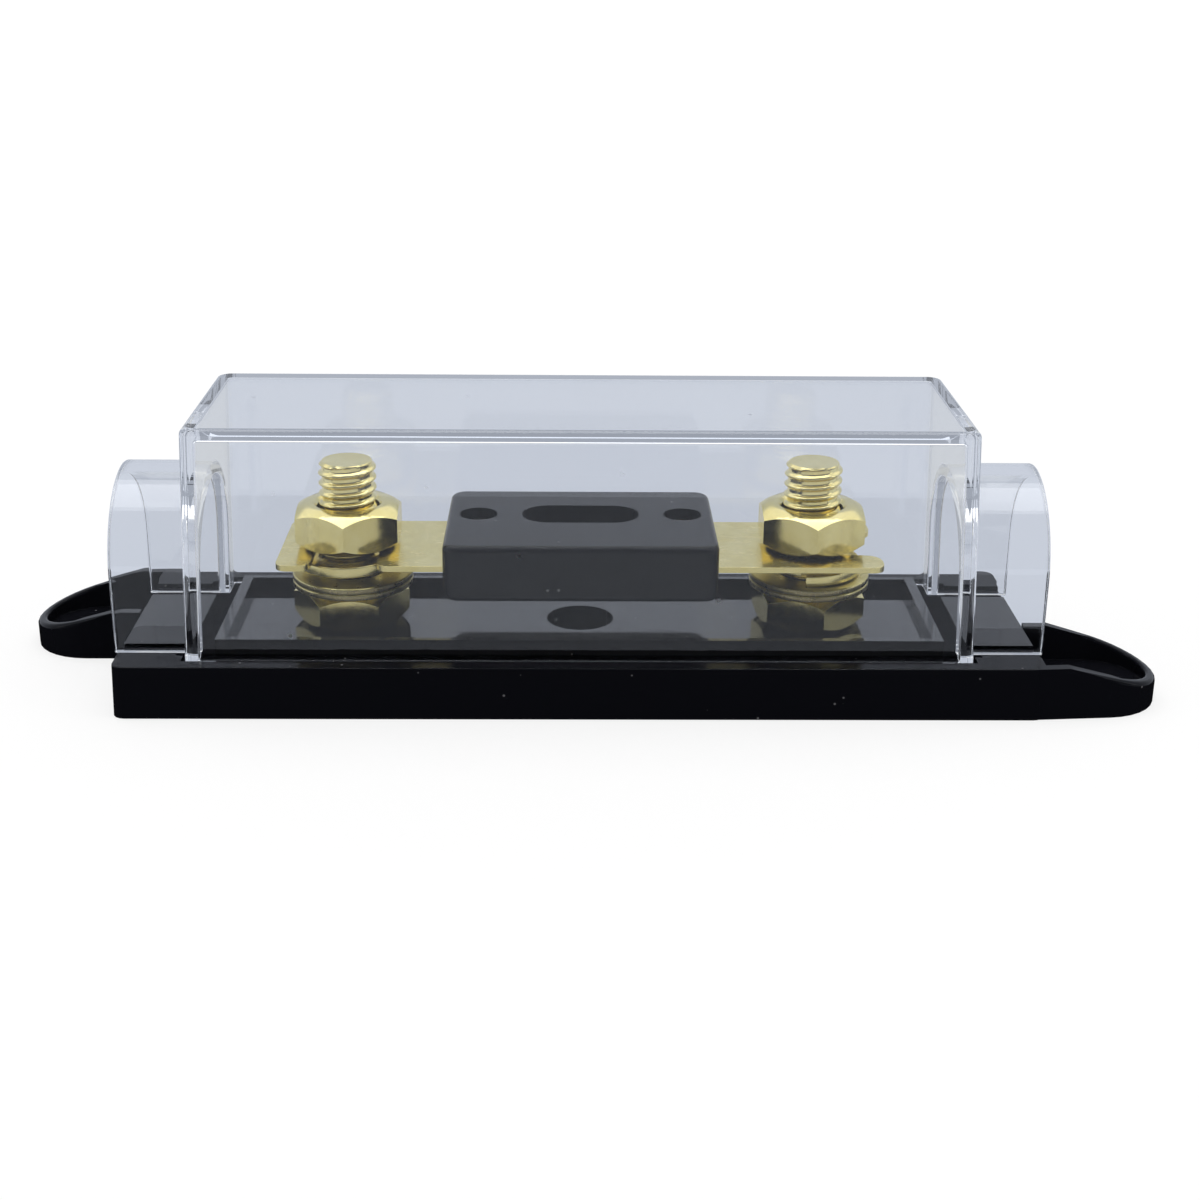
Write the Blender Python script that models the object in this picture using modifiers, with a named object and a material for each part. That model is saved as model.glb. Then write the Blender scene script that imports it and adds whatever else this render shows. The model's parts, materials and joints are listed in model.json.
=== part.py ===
"""A bolt-down holder for one flat blade fuse.

A black moulded base carries two brass studs. The fuse is clamped on them between washers and nuts, and a
clear cover with a cable tunnel at each end stands over everything. Metres, +Z up, X along the fuse. The
origin is in the middle of the underside.
"""

import math

import bmesh
import bpy
from mathutils import Matrix

# Gaps between separate pieces
SEAT_GAP = 0.00005
FIT_GAP = 0.0003

# Studs and the fuse that bridges them
STUD_SPACING = 0.063
STUD_DIAMETER = 0.0078
STUD_TOP = 0.0299
STUD_END_CHAMFER = 0.0007
HEAD_ACROSS_FLATS = 0.013
HEAD_HEIGHT = 0.005

# Base moulding
BASE_LENGTH = 0.1226
BASE_DEPTH = 0.0381
LEDGE_HEIGHT = 0.0072
BASE_DRAFT = 0.0002
BASE_CORNER_RADIUS = 0.0016
BASE_EDGE_RADIUS = 0.0004
FLOOR_DROP = 0.0007
PLATFORM_LENGTH = 0.0967
PLATFORM_DEPTH = 0.0247
PLATFORM_RISE = 0.0023
RECESS_DEPTH = 0.0016
RIM_AT_ENDS = 0.0014
RIM_AT_SIDES = 0.0010
PAD_DEPTH = 0.0186
PAD_RISE = 0.00045
BLOCK_INNER_Y = 0.0137
NOTCH_SIZE = 0.0010
CENTRE_HOLE_RADIUS = 0.0046

# Hollow, ribbed underside
SHELL_WALL = 0.0022
ROOF_THICKNESS = 0.0020
RIB_THICKNESS = 0.0014
RIB_BAYS = 8
RIB_OFFSET_Y = 0.0058
BOSS_WALL = 0.0018
HEAD_POCKET_GAP = 0.0002

# Fixing ears
EAR_RADIUS = 0.0083
EAR_REACH = 0.0082
EAR_SIDE_INSET = 0.0010
EAR_FLARE_ANGLE = math.radians(4.2)
EAR_WALL = 0.0014
EAR_FLOOR = 0.0020
EAR_SLOPE_START = 0.0028
EAR_SLOPE_ANGLE = math.radians(15.5)
SCREW_HOLE_RADIUS = 0.0026

# Clear cover
COVER_LENGTH = 0.1040
COVER_DEPTH = 0.0326
COVER_TOP = 0.0380
COVER_WALL = 0.0017
COVER_DRAFT_ENDS = 0.0011
COVER_DRAFT_SIDES = 0.0013
COVER_CORNER_RADIUS = 0.0014
COVER_TOP_RADIUS = 0.0009
TUNNEL_RADIUS = 0.0124
TUNNEL_WALL = 0.0016
TUNNEL_SPRING = 0.0167
TUNNEL_OVERHANG = 0.0005

# Nuts and washers
NUT_ACROSS_FLATS = 0.0137
LOWER_NUT_HEIGHT = 0.0053
TOP_NUT_HEIGHT = 0.0059
NUT_CHAMFER_ANGLE = math.radians(37)
NUT_FACE_RATIO = 0.95
BORE_CHAMFER = 0.0004
WASHER_DIAMETER = 0.0164
WASHER_THICKNESS = 0.00082
WASHER_HOLE_RADIUS = 0.0044
LEFT_WASHER_SLIP = 0.0003
SPRING_OUTER_RADIUS = 0.0069
SPRING_INNER_RADIUS = 0.0043
SPRING_THICKNESS = 0.0015
SPRING_RISE = 0.0014
SPRING_SLIT_ANGLE = math.radians(6)
LEFT_LOWER_NUT_TURN = math.radians(33)
RIGHT_LOWER_NUT_TURN = math.radians(10)
LEFT_TOP_NUT_TURN = math.radians(0.5)
RIGHT_TOP_NUT_TURN = math.radians(-0.5)
LEFT_SLIT_ANGLE = math.radians(10)
RIGHT_SLIT_ANGLE = math.radians(257)

# Fuse
BLADE_THICKNESS = 0.0008
BLADE_WIDTH = 0.0190
BLADE_REACH = 0.0090
BLADE_TIP_RADIUS = 0.0016
PRONG_TIP_RADIUS = 0.0022
PRONG_ROUNDING_SHARE = 0.45
SLOT_WIDTH = 0.0088
LINK_LENGTH = 0.0090
LINK_WIDTH = 0.0050
BODY_LENGTH = 0.0364
BODY_DEPTH = 0.0248
BODY_UPPER_HEIGHT = 0.0041
BODY_LOWER_HEIGHT = 0.0036
BODY_CORNER_RADIUS = 0.0020
BODY_EDGE_RADIUS = 0.0010
CHAMBER_LENGTH = 0.0200
CHAMBER_DEPTH = 0.0124
CHAMBER_HEIGHT = 0.0016
HOLE_LINE_Y = 0.0016
EYELET_SPACING = 0.0279
EYELET_RECESS_RADIUS = 0.0026
EYELET_RECESS_DEPTH = 0.0019
EYELET_OUTER_RADIUS = 0.0016
EYELET_INNER_RADIUS = 0.0012
EYELET_FLANGE = 0.0004
WINDOW_LENGTH = 0.0160
WINDOW_WIDTH = 0.0074
PANE_THICKNESS = 0.0006
PANE_MARGIN = 0.0010

# Facets
ROUND_STEPS = 40
EYELET_STEPS = 24
ARC_STEPS = 8
CORNER_STEPS = 4
OVERSHOOT = 0.001

FLOOR = LEDGE_HEIGHT - FLOOR_DROP
PLATFORM_TOP = FLOOR + PLATFORM_RISE
RECESS_FLOOR = PLATFORM_TOP - RECESS_DEPTH
STUD_RADIUS = STUD_DIAMETER / 2
BORE_RADIUS = STUD_RADIUS + FIT_GAP
LOWER_NUT_BASE = RECESS_FLOOR + SEAT_GAP
LOWER_WASHER_BASE = LOWER_NUT_BASE + LOWER_NUT_HEIGHT + SEAT_GAP
UPPER_WASHER_BASE = LOWER_WASHER_BASE + WASHER_THICKNESS + SEAT_GAP
SPRING_BASE = UPPER_WASHER_BASE + WASHER_THICKNESS + SEAT_GAP
BLADE_BASE = SPRING_BASE + SPRING_THICKNESS + SPRING_RISE + SEAT_GAP
TOP_NUT_BASE = BLADE_BASE + BLADE_THICKNESS + SEAT_GAP
FUSE_MID = BLADE_BASE + BLADE_THICKNESS / 2
TUNNEL_REACH = BASE_LENGTH / 2 + TUNNEL_OVERHANG
COVER_SEAT = FLOOR + SEAT_GAP

HOLDER = "fuse_holder"
CUTTERS = "cutters"


def clear_scene():
    for obj in list(bpy.data.objects):
        bpy.data.objects.remove(obj, do_unlink=True)
    for name in (HOLDER, CUTTERS):
        collection = bpy.data.collections.new(name)
        bpy.context.scene.collection.children.link(collection)


def material(name, colour, roughness, metallic=0.0, transmission=0.0):
    made = bpy.data.materials.new(name)
    made.use_nodes = True
    shader = made.node_tree.nodes["Principled BSDF"]
    shader.inputs["Base Color"].default_value = (*colour, 1.0)
    shader.inputs["Roughness"].default_value = roughness
    shader.inputs["Metallic"].default_value = metallic
    shader.inputs["Transmission Weight"].default_value = transmission
    return made


def add_object(name, mesh, finish=None, location=(0, 0, 0), turn=0.0):
    """Links a mesh as an object: a piece when it has a finish, else a cutter that no render shows."""
    obj = bpy.data.objects.new(name, mesh)
    obj.location = location
    obj.rotation_euler.z = turn
    bpy.data.collections[HOLDER if finish else CUTTERS].objects.link(obj)
    if finish:
        mesh.materials.clear()
        mesh.materials.append(finish)
        mesh.set_sharp_from_angle(angle=math.radians(35))
    else:
        obj.hide_render = True
        obj.display_type = "WIRE"
    return obj


def mesh_from(name, build):
    """Makes a mesh from a function that fills a bmesh."""
    form = bmesh.new()
    build(form)
    bmesh.ops.recalc_face_normals(form, faces=form.faces)
    mesh = bpy.data.meshes.new(name)
    form.to_mesh(mesh)
    form.free()
    return mesh


def box_mesh(name, size, centre):
    """A box of a full size about its centre."""

    def build(form):
        bmesh.ops.create_cube(form, size=1.0)
        bmesh.ops.scale(form, vec=size, verts=form.verts)
        bmesh.ops.translate(form, vec=centre, verts=form.verts)

    return mesh_from(name, build)


def cylinder_mesh(name, radius, low, high, centre=(0, 0), steps=ROUND_STEPS, turn=0.0):
    """An upright prism of any number of sides. Six sides and a radius to the corners make a hexagon."""

    def build(form):
        bmesh.ops.create_cone(
            form,
            cap_ends=True,
            segments=steps,
            radius1=radius,
            radius2=radius,
            depth=high - low,
        )
        bmesh.ops.rotate(form, matrix=Matrix.Rotation(turn, 3, "Z"), verts=form.verts)
        bmesh.ops.translate(form, vec=(*centre, (low + high) / 2), verts=form.verts)

    return mesh_from(name, build)


def arc(centre, radius, start, end, steps=ARC_STEPS):
    """Points along a round stretch, from one angle in degrees to another."""
    sweep = [start + (end - start) * step / steps for step in range(steps + 1)]
    return [
        (
            centre[0] + radius * math.cos(math.radians(angle)),
            centre[1] + radius * math.sin(math.radians(angle)),
        )
        for angle in sweep
    ]


def rounded_rectangle(half_x, half_y, radius):
    """Corner arcs of a rectangle, anticlockwise from the right-hand front corner."""
    points = []
    for quarter, (side_x, side_y) in enumerate(((1, -1), (1, 1), (-1, 1), (-1, -1))):
        centre = (side_x * (half_x - radius), side_y * (half_y - radius))
        points += arc(centre, radius, -90 + 90 * quarter, 90 * quarter, CORNER_STEPS)
    return points


def stadium(half_length, radius, centre=(0, 0)):
    """A slot outline along X with round ends."""
    reach = half_length - radius
    right = arc((centre[0] + reach, centre[1]), radius, -90, 90)
    left = arc((centre[0] - reach, centre[1]), radius, 90, 270)
    return right + left


def extruded_mesh(name, outlines, low, high):
    """A flat outline with holes, given as one curve per loop and raised from low to high."""
    curve = bpy.data.curves.new(name, "CURVE")
    curve.dimensions = "2D"
    curve.fill_mode = "BOTH"
    curve.extrude = (high - low) / 2
    for outline in outlines:
        spline = curve.splines.new("POLY")
        spline.points.add(len(outline) - 1)
        for point, (x, y) in zip(spline.points, outline):
            point.co = (x, y, 0, 1)
        spline.use_cyclic_u = True
    guide = bpy.data.objects.new(name + "_outline", curve)
    bpy.context.scene.collection.objects.link(guide)
    graph = bpy.context.evaluated_depsgraph_get()
    mesh = bpy.data.meshes.new_from_object(guide.evaluated_get(graph))
    bpy.data.objects.remove(guide, do_unlink=True)
    bpy.data.curves.remove(curve)
    form = bmesh.new()
    form.from_mesh(mesh)
    bmesh.ops.remove_doubles(form, verts=form.verts, dist=0.000001)
    bmesh.ops.translate(form, vec=(0, 0, (low + high) / 2), verts=form.verts)
    bmesh.ops.recalc_face_normals(form, faces=form.faces)
    form.to_mesh(mesh)
    form.free()
    return mesh


def along_x(mesh, start, end):
    """Lays an outline that was raised from 0 to 1 down along X, so that its own X and Y become Y and Z."""
    turn = Matrix(((0, 0, end - start, start), (1, 0, 0, 0), (0, 1, 0, 0), (0, 0, 0, 1)))
    mesh.transform(turn)
    return mesh


def tapered_mesh(name, half_x, half_y, low, high, inset_x, inset_y, radius):
    """A rounded rectangle that draws in by an inset on each side from its foot to its top."""
    mesh = extruded_mesh(name, [rounded_rectangle(half_x, half_y, radius)], low, high)
    for vertex in mesh.vertices:
        if vertex.co.z > (low + high) / 2:
            vertex.co.x -= math.copysign(inset_x, vertex.co.x)
            vertex.co.y -= math.copysign(inset_y, vertex.co.y)
    return mesh


def turned_object(name, profile, finish=None, location=(0, 0, 0), steps=ROUND_STEPS):
    """A profile of (radius, height) points, top to bottom down its outer side, turned about Z."""

    def build(form):
        verts = [form.verts.new((radius, 0, height)) for radius, height in profile]
        closed = profile[0][0] > 0
        for index in range(len(verts) if closed else len(verts) - 1):
            form.edges.new((verts[index], verts[(index + 1) % len(verts)]))

    obj = add_object(name, mesh_from(name, build), finish, location)
    screw = obj.modifiers.new("Turn", "SCREW")
    screw.axis = "Z"
    screw.steps = steps
    screw.render_steps = steps
    screw.use_merge_vertices = True
    screw.merge_threshold = 0.00001
    screw.use_smooth_shade = True
    return obj


def combine(obj, operation, *tools):
    """Adds one exact Boolean to an object for each tool."""
    for tool in tools:
        step = obj.modifiers.new(operation.title() + " " + tool.name, "BOOLEAN")
        step.operation = operation
        step.solver = "EXACT"
        step.object = tool


def cut(obj, *tools):
    combine(obj, "DIFFERENCE", *tools)


def join(obj, *tools):
    combine(obj, "UNION", *tools)


def round_edges(obj, width, segments=2, angle=50):
    bevel = obj.modifiers.new("Round edges", "BEVEL")
    bevel.width = width
    bevel.segments = segments
    bevel.limit_method = "ANGLE"
    bevel.angle_limit = math.radians(angle)


def hex_radius(across_flats):
    return across_flats / 2 / math.cos(math.pi / 6)


def ear_centre(side):
    """The middle of an ear's loop. The left ear is at the back and the right ear at the front."""
    middle_x = BASE_LENGTH / 2 + EAR_REACH
    middle_y = BASE_DEPTH / 2 - EAR_SIDE_INSET - EAR_RADIUS
    return side * middle_x, -side * middle_y


def ear_outline(side, root_x, inset):
    """One ear's loop, open to the base. Its outer side runs straight into the base's long side."""
    middle_x, middle_y = ear_centre(side)
    middle = (side * middle_x, -side * middle_y)
    flare = math.degrees(EAR_FLARE_ANGLE)
    tip = arc(middle, EAR_RADIUS - inset, 90 - flare, -90, 2 * ARC_STEPS)
    outer_y = tip[0][1] + (tip[0][0] - root_x) * math.tan(EAR_FLARE_ANGLE)
    outline = [(root_x, outer_y)] + tip + [(root_x, tip[-1][1])]
    return [(side * x, -side * y) for x, y in outline]


def ear_solid(side):
    """A loop of even height whose rim then falls away towards the tip."""
    name = "left_ear" if side < 0 else "right_ear"
    outline = ear_outline(side, BASE_LENGTH / 2 - BASE_CORNER_RADIUS, 0)
    ear = add_object(name, extruded_mesh(name, [outline], 0, LEDGE_HEIGHT))
    reach = 2 * (EAR_REACH + EAR_RADIUS)
    slope = box_mesh(name + "_slope", (reach, 2 * BASE_DEPTH, reach), (reach / 2, 0, reach / 2))
    slope.transform(Matrix.Rotation(EAR_SLOPE_ANGLE, 4, "Y"))
    slope.transform(Matrix.Translation((BASE_LENGTH / 2 + EAR_SLOPE_START, 0, LEDGE_HEIGHT)))
    if side < 0:
        slope.transform(Matrix.Rotation(math.pi, 4, "Z"))
    cut(ear, add_object(name + "_slope", slope))
    return ear


def rib_cells():
    """Boxes that hollow the underside between its walls and ribs: three rows of equal bays."""
    inner_x = BASE_LENGTH / 2 - SHELL_WALL
    inner_y = BASE_DEPTH / 2 - SHELL_WALL
    half_rib = RIB_THICKNESS / 2
    rows = (
        (-inner_y, -RIB_OFFSET_Y - half_rib),
        (-RIB_OFFSET_Y + half_rib, RIB_OFFSET_Y - half_rib),
        (RIB_OFFSET_Y + half_rib, inner_y),
    )
    pitch = 2 * inner_x / RIB_BAYS
    for bay in range(RIB_BAYS):
        left = -inner_x + bay * pitch + (half_rib if bay else 0)
        right = -inner_x + (bay + 1) * pitch - (half_rib if bay < RIB_BAYS - 1 else 0)
        for front, back in rows:
            yield left, right, front, back


def hollow_tool():
    """The underside's cells as one cutter, with the stud bosses and the centre boss left standing."""
    roof = FLOOR - ROOF_THICKNESS

    def build(form):
        for left, right, front, back in rib_cells():
            cell = bmesh.ops.create_cube(form, size=1.0)["verts"]
            bmesh.ops.scale(form, vec=(right - left, back - front, roof + OVERSHOOT), verts=cell)
            centre = ((left + right) / 2, (front + back) / 2, (roof - OVERSHOOT) / 2)
            bmesh.ops.translate(form, vec=centre, verts=cell)

    tool = add_object("underside_cells", mesh_from("underside_cells", build))
    stud_boss = hex_radius(HEAD_ACROSS_FLATS) + BOSS_WALL
    centre_boss = CENTRE_HOLE_RADIUS + BOSS_WALL
    reach = STUD_SPACING / 2
    for index, (x, radius) in enumerate(((-reach, stud_boss), (0, centre_boss), (reach, stud_boss))):
        boss = cylinder_mesh(f"boss_{index}", radius, -2 * OVERSHOOT, roof + OVERSHOOT, (x, 0))
        cut(tool, add_object(f"boss_{index}", boss))
    return tool


def build_base(finish):
    """The base: one moulding with end blocks, pads, rimmed platform, two ears and a ribbed underside."""
    half_x = BASE_LENGTH / 2
    half_y = BASE_DEPTH / 2
    slab = tapered_mesh(
        "base", half_x, half_y, 0, LEDGE_HEIGHT, BASE_DRAFT, BASE_DRAFT, BASE_CORNER_RADIUS
    )
    base = add_object("base", slab, finish)
    round_edges(base, BASE_EDGE_RADIUS)
    for side in (-1, 1):
        join(base, ear_solid(side))

    well_x = COVER_LENGTH / 2 + FIT_GAP
    well_y = COVER_DEPTH / 2 + FIT_GAP
    drop = FLOOR_DROP + OVERSHOOT
    middle = FLOOR + drop / 2
    channel_y = 2 * BLOCK_INNER_Y
    notch_y = 2 * (BLOCK_INNER_Y + NOTCH_SIZE)
    wells = (
        ("well", (2 * well_x, 2 * well_y, drop)),
        ("channel", (2 * half_x, channel_y, drop)),
        ("notch", (2 * (well_x + NOTCH_SIZE), notch_y, drop)),
    )
    for name, size in wells:
        cut(base, add_object(name, box_mesh(name, size, (0, 0, middle))))

    sunk = OVERSHOOT
    platform_size = (PLATFORM_LENGTH, PLATFORM_DEPTH, PLATFORM_RISE + sunk)
    platform = box_mesh("platform", platform_size, (0, 0, FLOOR + (PLATFORM_RISE - sunk) / 2))
    join(base, add_object("platform", platform))
    pad_inner = well_x - FIT_GAP
    pad_length = half_x - BASE_DRAFT - pad_inner
    for side, name in ((-1, "left_pad"), (1, "right_pad")):
        centre = (side * (pad_inner + pad_length / 2), 0, FLOOR + (PAD_RISE - sunk) / 2)
        pad = box_mesh(name, (pad_length, PAD_DEPTH, PAD_RISE + sunk), centre)
        join(base, add_object(name, pad))

    recess = box_mesh(
        "recess",
        (PLATFORM_LENGTH - 2 * RIM_AT_ENDS, PLATFORM_DEPTH - 2 * RIM_AT_SIDES, RECESS_DEPTH + OVERSHOOT),
        (0, 0, RECESS_FLOOR + (RECESS_DEPTH + OVERSHOOT) / 2),
    )
    cut(base, add_object("recess", recess))
    hole = cylinder_mesh("centre_hole", CENTRE_HOLE_RADIUS, -OVERSHOOT, PLATFORM_TOP)
    cut(base, add_object("centre_hole", hole), hollow_tool())

    pocket_radius = hex_radius(HEAD_ACROSS_FLATS) + HEAD_POCKET_GAP
    pocket_top = HEAD_HEIGHT + SEAT_GAP
    for side, label in ((-1, "left"), (1, "right")):
        at = (side * STUD_SPACING / 2, 0)
        pocket = cylinder_mesh(label + "_head_pocket", pocket_radius, -OVERSHOOT, pocket_top, at, 6)
        shank = cylinder_mesh(label + "_shank_hole", STUD_RADIUS + FIT_GAP, 0, PLATFORM_TOP, at)
        cut(base, add_object(label + "_head_pocket", pocket), add_object(label + "_shank_hole", shank))
        loop = ear_outline(side, half_x - BASE_DRAFT, EAR_WALL)
        tray = extruded_mesh(label + "_ear_tray", [loop], EAR_FLOOR, 2 * LEDGE_HEIGHT)
        screw = cylinder_mesh(
            label + "_screw_hole", SCREW_HOLE_RADIUS, -OVERSHOOT, LEDGE_HEIGHT, ear_centre(side)
        )
        cut(base, add_object(label + "_ear_tray", tray), add_object(label + "_screw_hole", screw))
    return base


def arch_mesh(name, radius, start, end, foot=COVER_SEAT):
    """A tunnel's arch as a prism along X: straight legs under a half circle."""
    outline = arc((0, TUNNEL_SPRING), radius, 0, 180, 3 * ARC_STEPS)
    outline += [(-radius, foot), (radius, foot)]
    return along_x(extruded_mesh(name, [outline], 0, 1), start, end)


def build_cover(finish):
    """The cover: a drafted box, open below, whose end walls open into two arched tunnels."""
    shell = tapered_mesh(
        "cover",
        COVER_LENGTH / 2,
        COVER_DEPTH / 2,
        COVER_SEAT,
        COVER_TOP,
        COVER_DRAFT_ENDS,
        COVER_DRAFT_SIDES,
        COVER_CORNER_RADIUS,
    )
    cover = add_object("cover", shell, finish)
    bevel = cover.modifiers.new("Round top", "BEVEL")
    bevel.width = COVER_TOP_RADIUS
    bevel.segments = 2
    bevel.limit_method = "WEIGHT"
    weights = shell.attributes.new("bevel_weight_edge", "FLOAT", "EDGE")
    for edge in shell.edges:
        if all(shell.vertices[index].co.z > COVER_TOP - OVERSHOOT / 2 for index in edge.vertices):
            weights.data[edge.index].value = 1.0

    tunnel = arch_mesh("tunnel_outside", TUNNEL_RADIUS, -TUNNEL_REACH, TUNNEL_REACH)
    join(cover, add_object("tunnel_outside", tunnel))
    slope_x = COVER_DRAFT_ENDS / (COVER_TOP - COVER_SEAT)
    slope_y = COVER_DRAFT_SIDES / (COVER_TOP - COVER_SEAT)
    ceiling = COVER_TOP - COVER_WALL
    low = COVER_SEAT - OVERSHOOT
    cavity = tapered_mesh(
        "cavity",
        COVER_LENGTH / 2 - COVER_WALL + OVERSHOOT * slope_x,
        COVER_DEPTH / 2 - COVER_WALL + OVERSHOOT * slope_y,
        low,
        ceiling,
        (ceiling - low) * slope_x,
        (ceiling - low) * slope_y,
        COVER_CORNER_RADIUS / 2,
    )
    reach = TUNNEL_REACH + OVERSHOOT
    bore = arch_mesh("tunnel_bore", TUNNEL_RADIUS - TUNNEL_WALL, -reach, reach, low)
    cut(cover, add_object("cavity", cavity), add_object("tunnel_bore", bore))
    return cover


def build_stud(name, side, finish):
    """A hex bolt pushed up from below, its head in the base's pocket. Its thread is left plain here."""
    low = SEAT_GAP
    profile = [
        (0, STUD_TOP),
        (STUD_RADIUS - STUD_END_CHAMFER, STUD_TOP),
        (STUD_RADIUS, STUD_TOP - STUD_END_CHAMFER),
        (STUD_RADIUS, low + HEAD_HEIGHT / 2),
        (0, low + HEAD_HEIGHT / 2),
    ]
    at = (side * STUD_SPACING / 2, 0, 0)
    stud = turned_object(name, profile, finish, at)
    head = cylinder_mesh(name + "_head", hex_radius(HEAD_ACROSS_FLATS), low, HEAD_HEIGHT, steps=6)
    join(stud, add_object(name + "_head", head, location=at))
    return stud


def build_nut(name, side, base_z, height, turn, finish):
    """A hexagon cut to a cone at both ends, bored and countersunk."""
    at = (side * STUD_SPACING / 2, 0, base_z)
    corner = hex_radius(NUT_ACROSS_FLATS)
    nut = add_object(name, cylinder_mesh(name, corner, 0, height, steps=6), finish, at, turn)
    face = NUT_ACROSS_FLATS / 2 * NUT_FACE_RATIO
    outside = corner + OVERSHOOT
    fall = (outside - face) * math.tan(NUT_CHAMFER_ANGLE)
    cone = [
        (0, height),
        (face, height),
        (outside, height - fall),
        (outside, fall),
        (face, 0),
        (0, 0),
    ]
    combine(nut, "INTERSECT", turned_object(name + "_cone", cone, location=at))
    mouth = BORE_RADIUS + BORE_CHAMFER + OVERSHOOT
    bore = [
        (0, height + OVERSHOOT),
        (mouth, height + OVERSHOOT),
        (BORE_RADIUS, height - BORE_CHAMFER),
        (BORE_RADIUS, BORE_CHAMFER),
        (mouth, -OVERSHOOT),
        (0, -OVERSHOOT),
    ]
    cut(nut, turned_object(name + "_bore", bore, location=at))
    return nut


def build_washer(name, side, base_z, finish):
    """A plain stamped washer, its upper edge slightly rolled over. Those on the left lie off centre."""
    outer = WASHER_DIAMETER / 2
    roll = WASHER_THICKNESS / 4
    profile = [
        (WASHER_HOLE_RADIUS, WASHER_THICKNESS),
        (outer - roll, WASHER_THICKNESS),
        (outer, WASHER_THICKNESS - roll),
        (outer, 0),
        (WASHER_HOLE_RADIUS, 0),
    ]
    slip = LEFT_WASHER_SLIP if side < 0 else 0
    return turned_object(name, profile, finish, (side * STUD_SPACING / 2 + slip, 0, base_z))


def build_spring_washer(name, side, slit_at, finish):
    """A square-section ring cut through once. It rises anticlockwise from its low end to its high end."""
    sweep = 2 * math.pi - SPRING_SLIT_ANGLE

    def build(form):
        section = [
            form.verts.new((SPRING_INNER_RADIUS, 0, 0)),
            form.verts.new((SPRING_OUTER_RADIUS, 0, 0)),
            form.verts.new((SPRING_OUTER_RADIUS, 0, SPRING_THICKNESS)),
            form.verts.new((SPRING_INNER_RADIUS, 0, SPRING_THICKNESS)),
        ]
        face = form.faces.new(section)
        bmesh.ops.spin(
            form,
            geom=[face] + list(face.edges) + section,
            cent=(0, 0, 0),
            axis=(0, 0, 1),
            dvec=(0, 0, SPRING_RISE / ROUND_STEPS),
            angle=sweep,
            steps=ROUND_STEPS,
            use_duplicate=False,
        )

    mesh = mesh_from(name, build)
    at = (side * STUD_SPACING / 2, 0, SPRING_BASE)
    return add_object(name, mesh, finish, at, slit_at + SPRING_SLIT_ANGLE / 2)


def prong_radii():
    """The rounding at a prong's outer and inner corners, never more than the prong's width can hold."""
    largest = (BLADE_WIDTH - SLOT_WIDTH) / 2 * PRONG_ROUNDING_SHARE
    return min(BLADE_TIP_RADIUS, largest), min(PRONG_TIP_RADIUS, largest)


def left_blade():
    """The left blade's outline, from the back round to the front, where its slot opens."""
    stud = -STUD_SPACING / 2
    tip = stud - BLADE_REACH
    half = BLADE_WIDTH / 2
    radius, _ = prong_radii()
    slot = SLOT_WIDTH / 2
    outline = arc((tip + radius, half - radius), radius, 90, 180, CORNER_STEPS)
    outline += arc((tip + radius, -half + radius), radius, 180, 270, CORNER_STEPS)
    outline += arc((stud - slot - radius, -half + radius), radius, 270, 360, CORNER_STEPS)
    outline += arc((stud, 0), slot, 180, 0, 2 * ARC_STEPS)
    outline += arc((stud + slot + radius, -half + radius), radius, 180, 270, CORNER_STEPS)
    return outline


def right_blade():
    """The right blade's outline from front to back: a fork whose slot opens at the tip."""
    stud = STUD_SPACING / 2
    tip = stud + BLADE_REACH
    half = BLADE_WIDTH / 2
    outer, inner = prong_radii()
    slot = SLOT_WIDTH / 2
    outline = arc((tip - outer, -half + outer), outer, -90, 0, CORNER_STEPS)
    outline += arc((tip - inner, -slot - inner), inner, 0, 90, CORNER_STEPS)
    outline += arc((stud, 0), slot, 270, 90, 2 * ARC_STEPS)
    outline += arc((tip - inner, slot + inner), inner, 270, 360, CORNER_STEPS)
    outline += arc((tip - outer, half - outer), outer, 0, 90, CORNER_STEPS)
    return outline


def build_strip(finish):
    """The fuse's conductor: one stamping with both blades and the narrow link that melts."""
    half = BLADE_WIDTH / 2
    neck = LINK_LENGTH / 2
    link_front = HOLE_LINE_Y - LINK_WIDTH / 2
    link_back = HOLE_LINE_Y + LINK_WIDTH / 2
    front = [(-neck, -half), (-neck, link_front), (neck, link_front), (neck, -half)]
    back = [(neck, half), (neck, link_back), (-neck, link_back), (-neck, half)]
    outline = left_blade() + front + right_blade() + back
    clearance = EYELET_OUTER_RADIUS + FIT_GAP
    last = 360 - 360 / EYELET_STEPS
    holes = [
        arc((side * EYELET_SPACING / 2, HOLE_LINE_Y), clearance, 0, last, EYELET_STEPS - 1)
        for side in (-1, 1)
    ]
    mesh = extruded_mesh("fuse_strip", [outline] + holes, BLADE_BASE, BLADE_BASE + BLADE_THICKNESS)
    return add_object("fuse_strip", mesh, finish)


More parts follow.
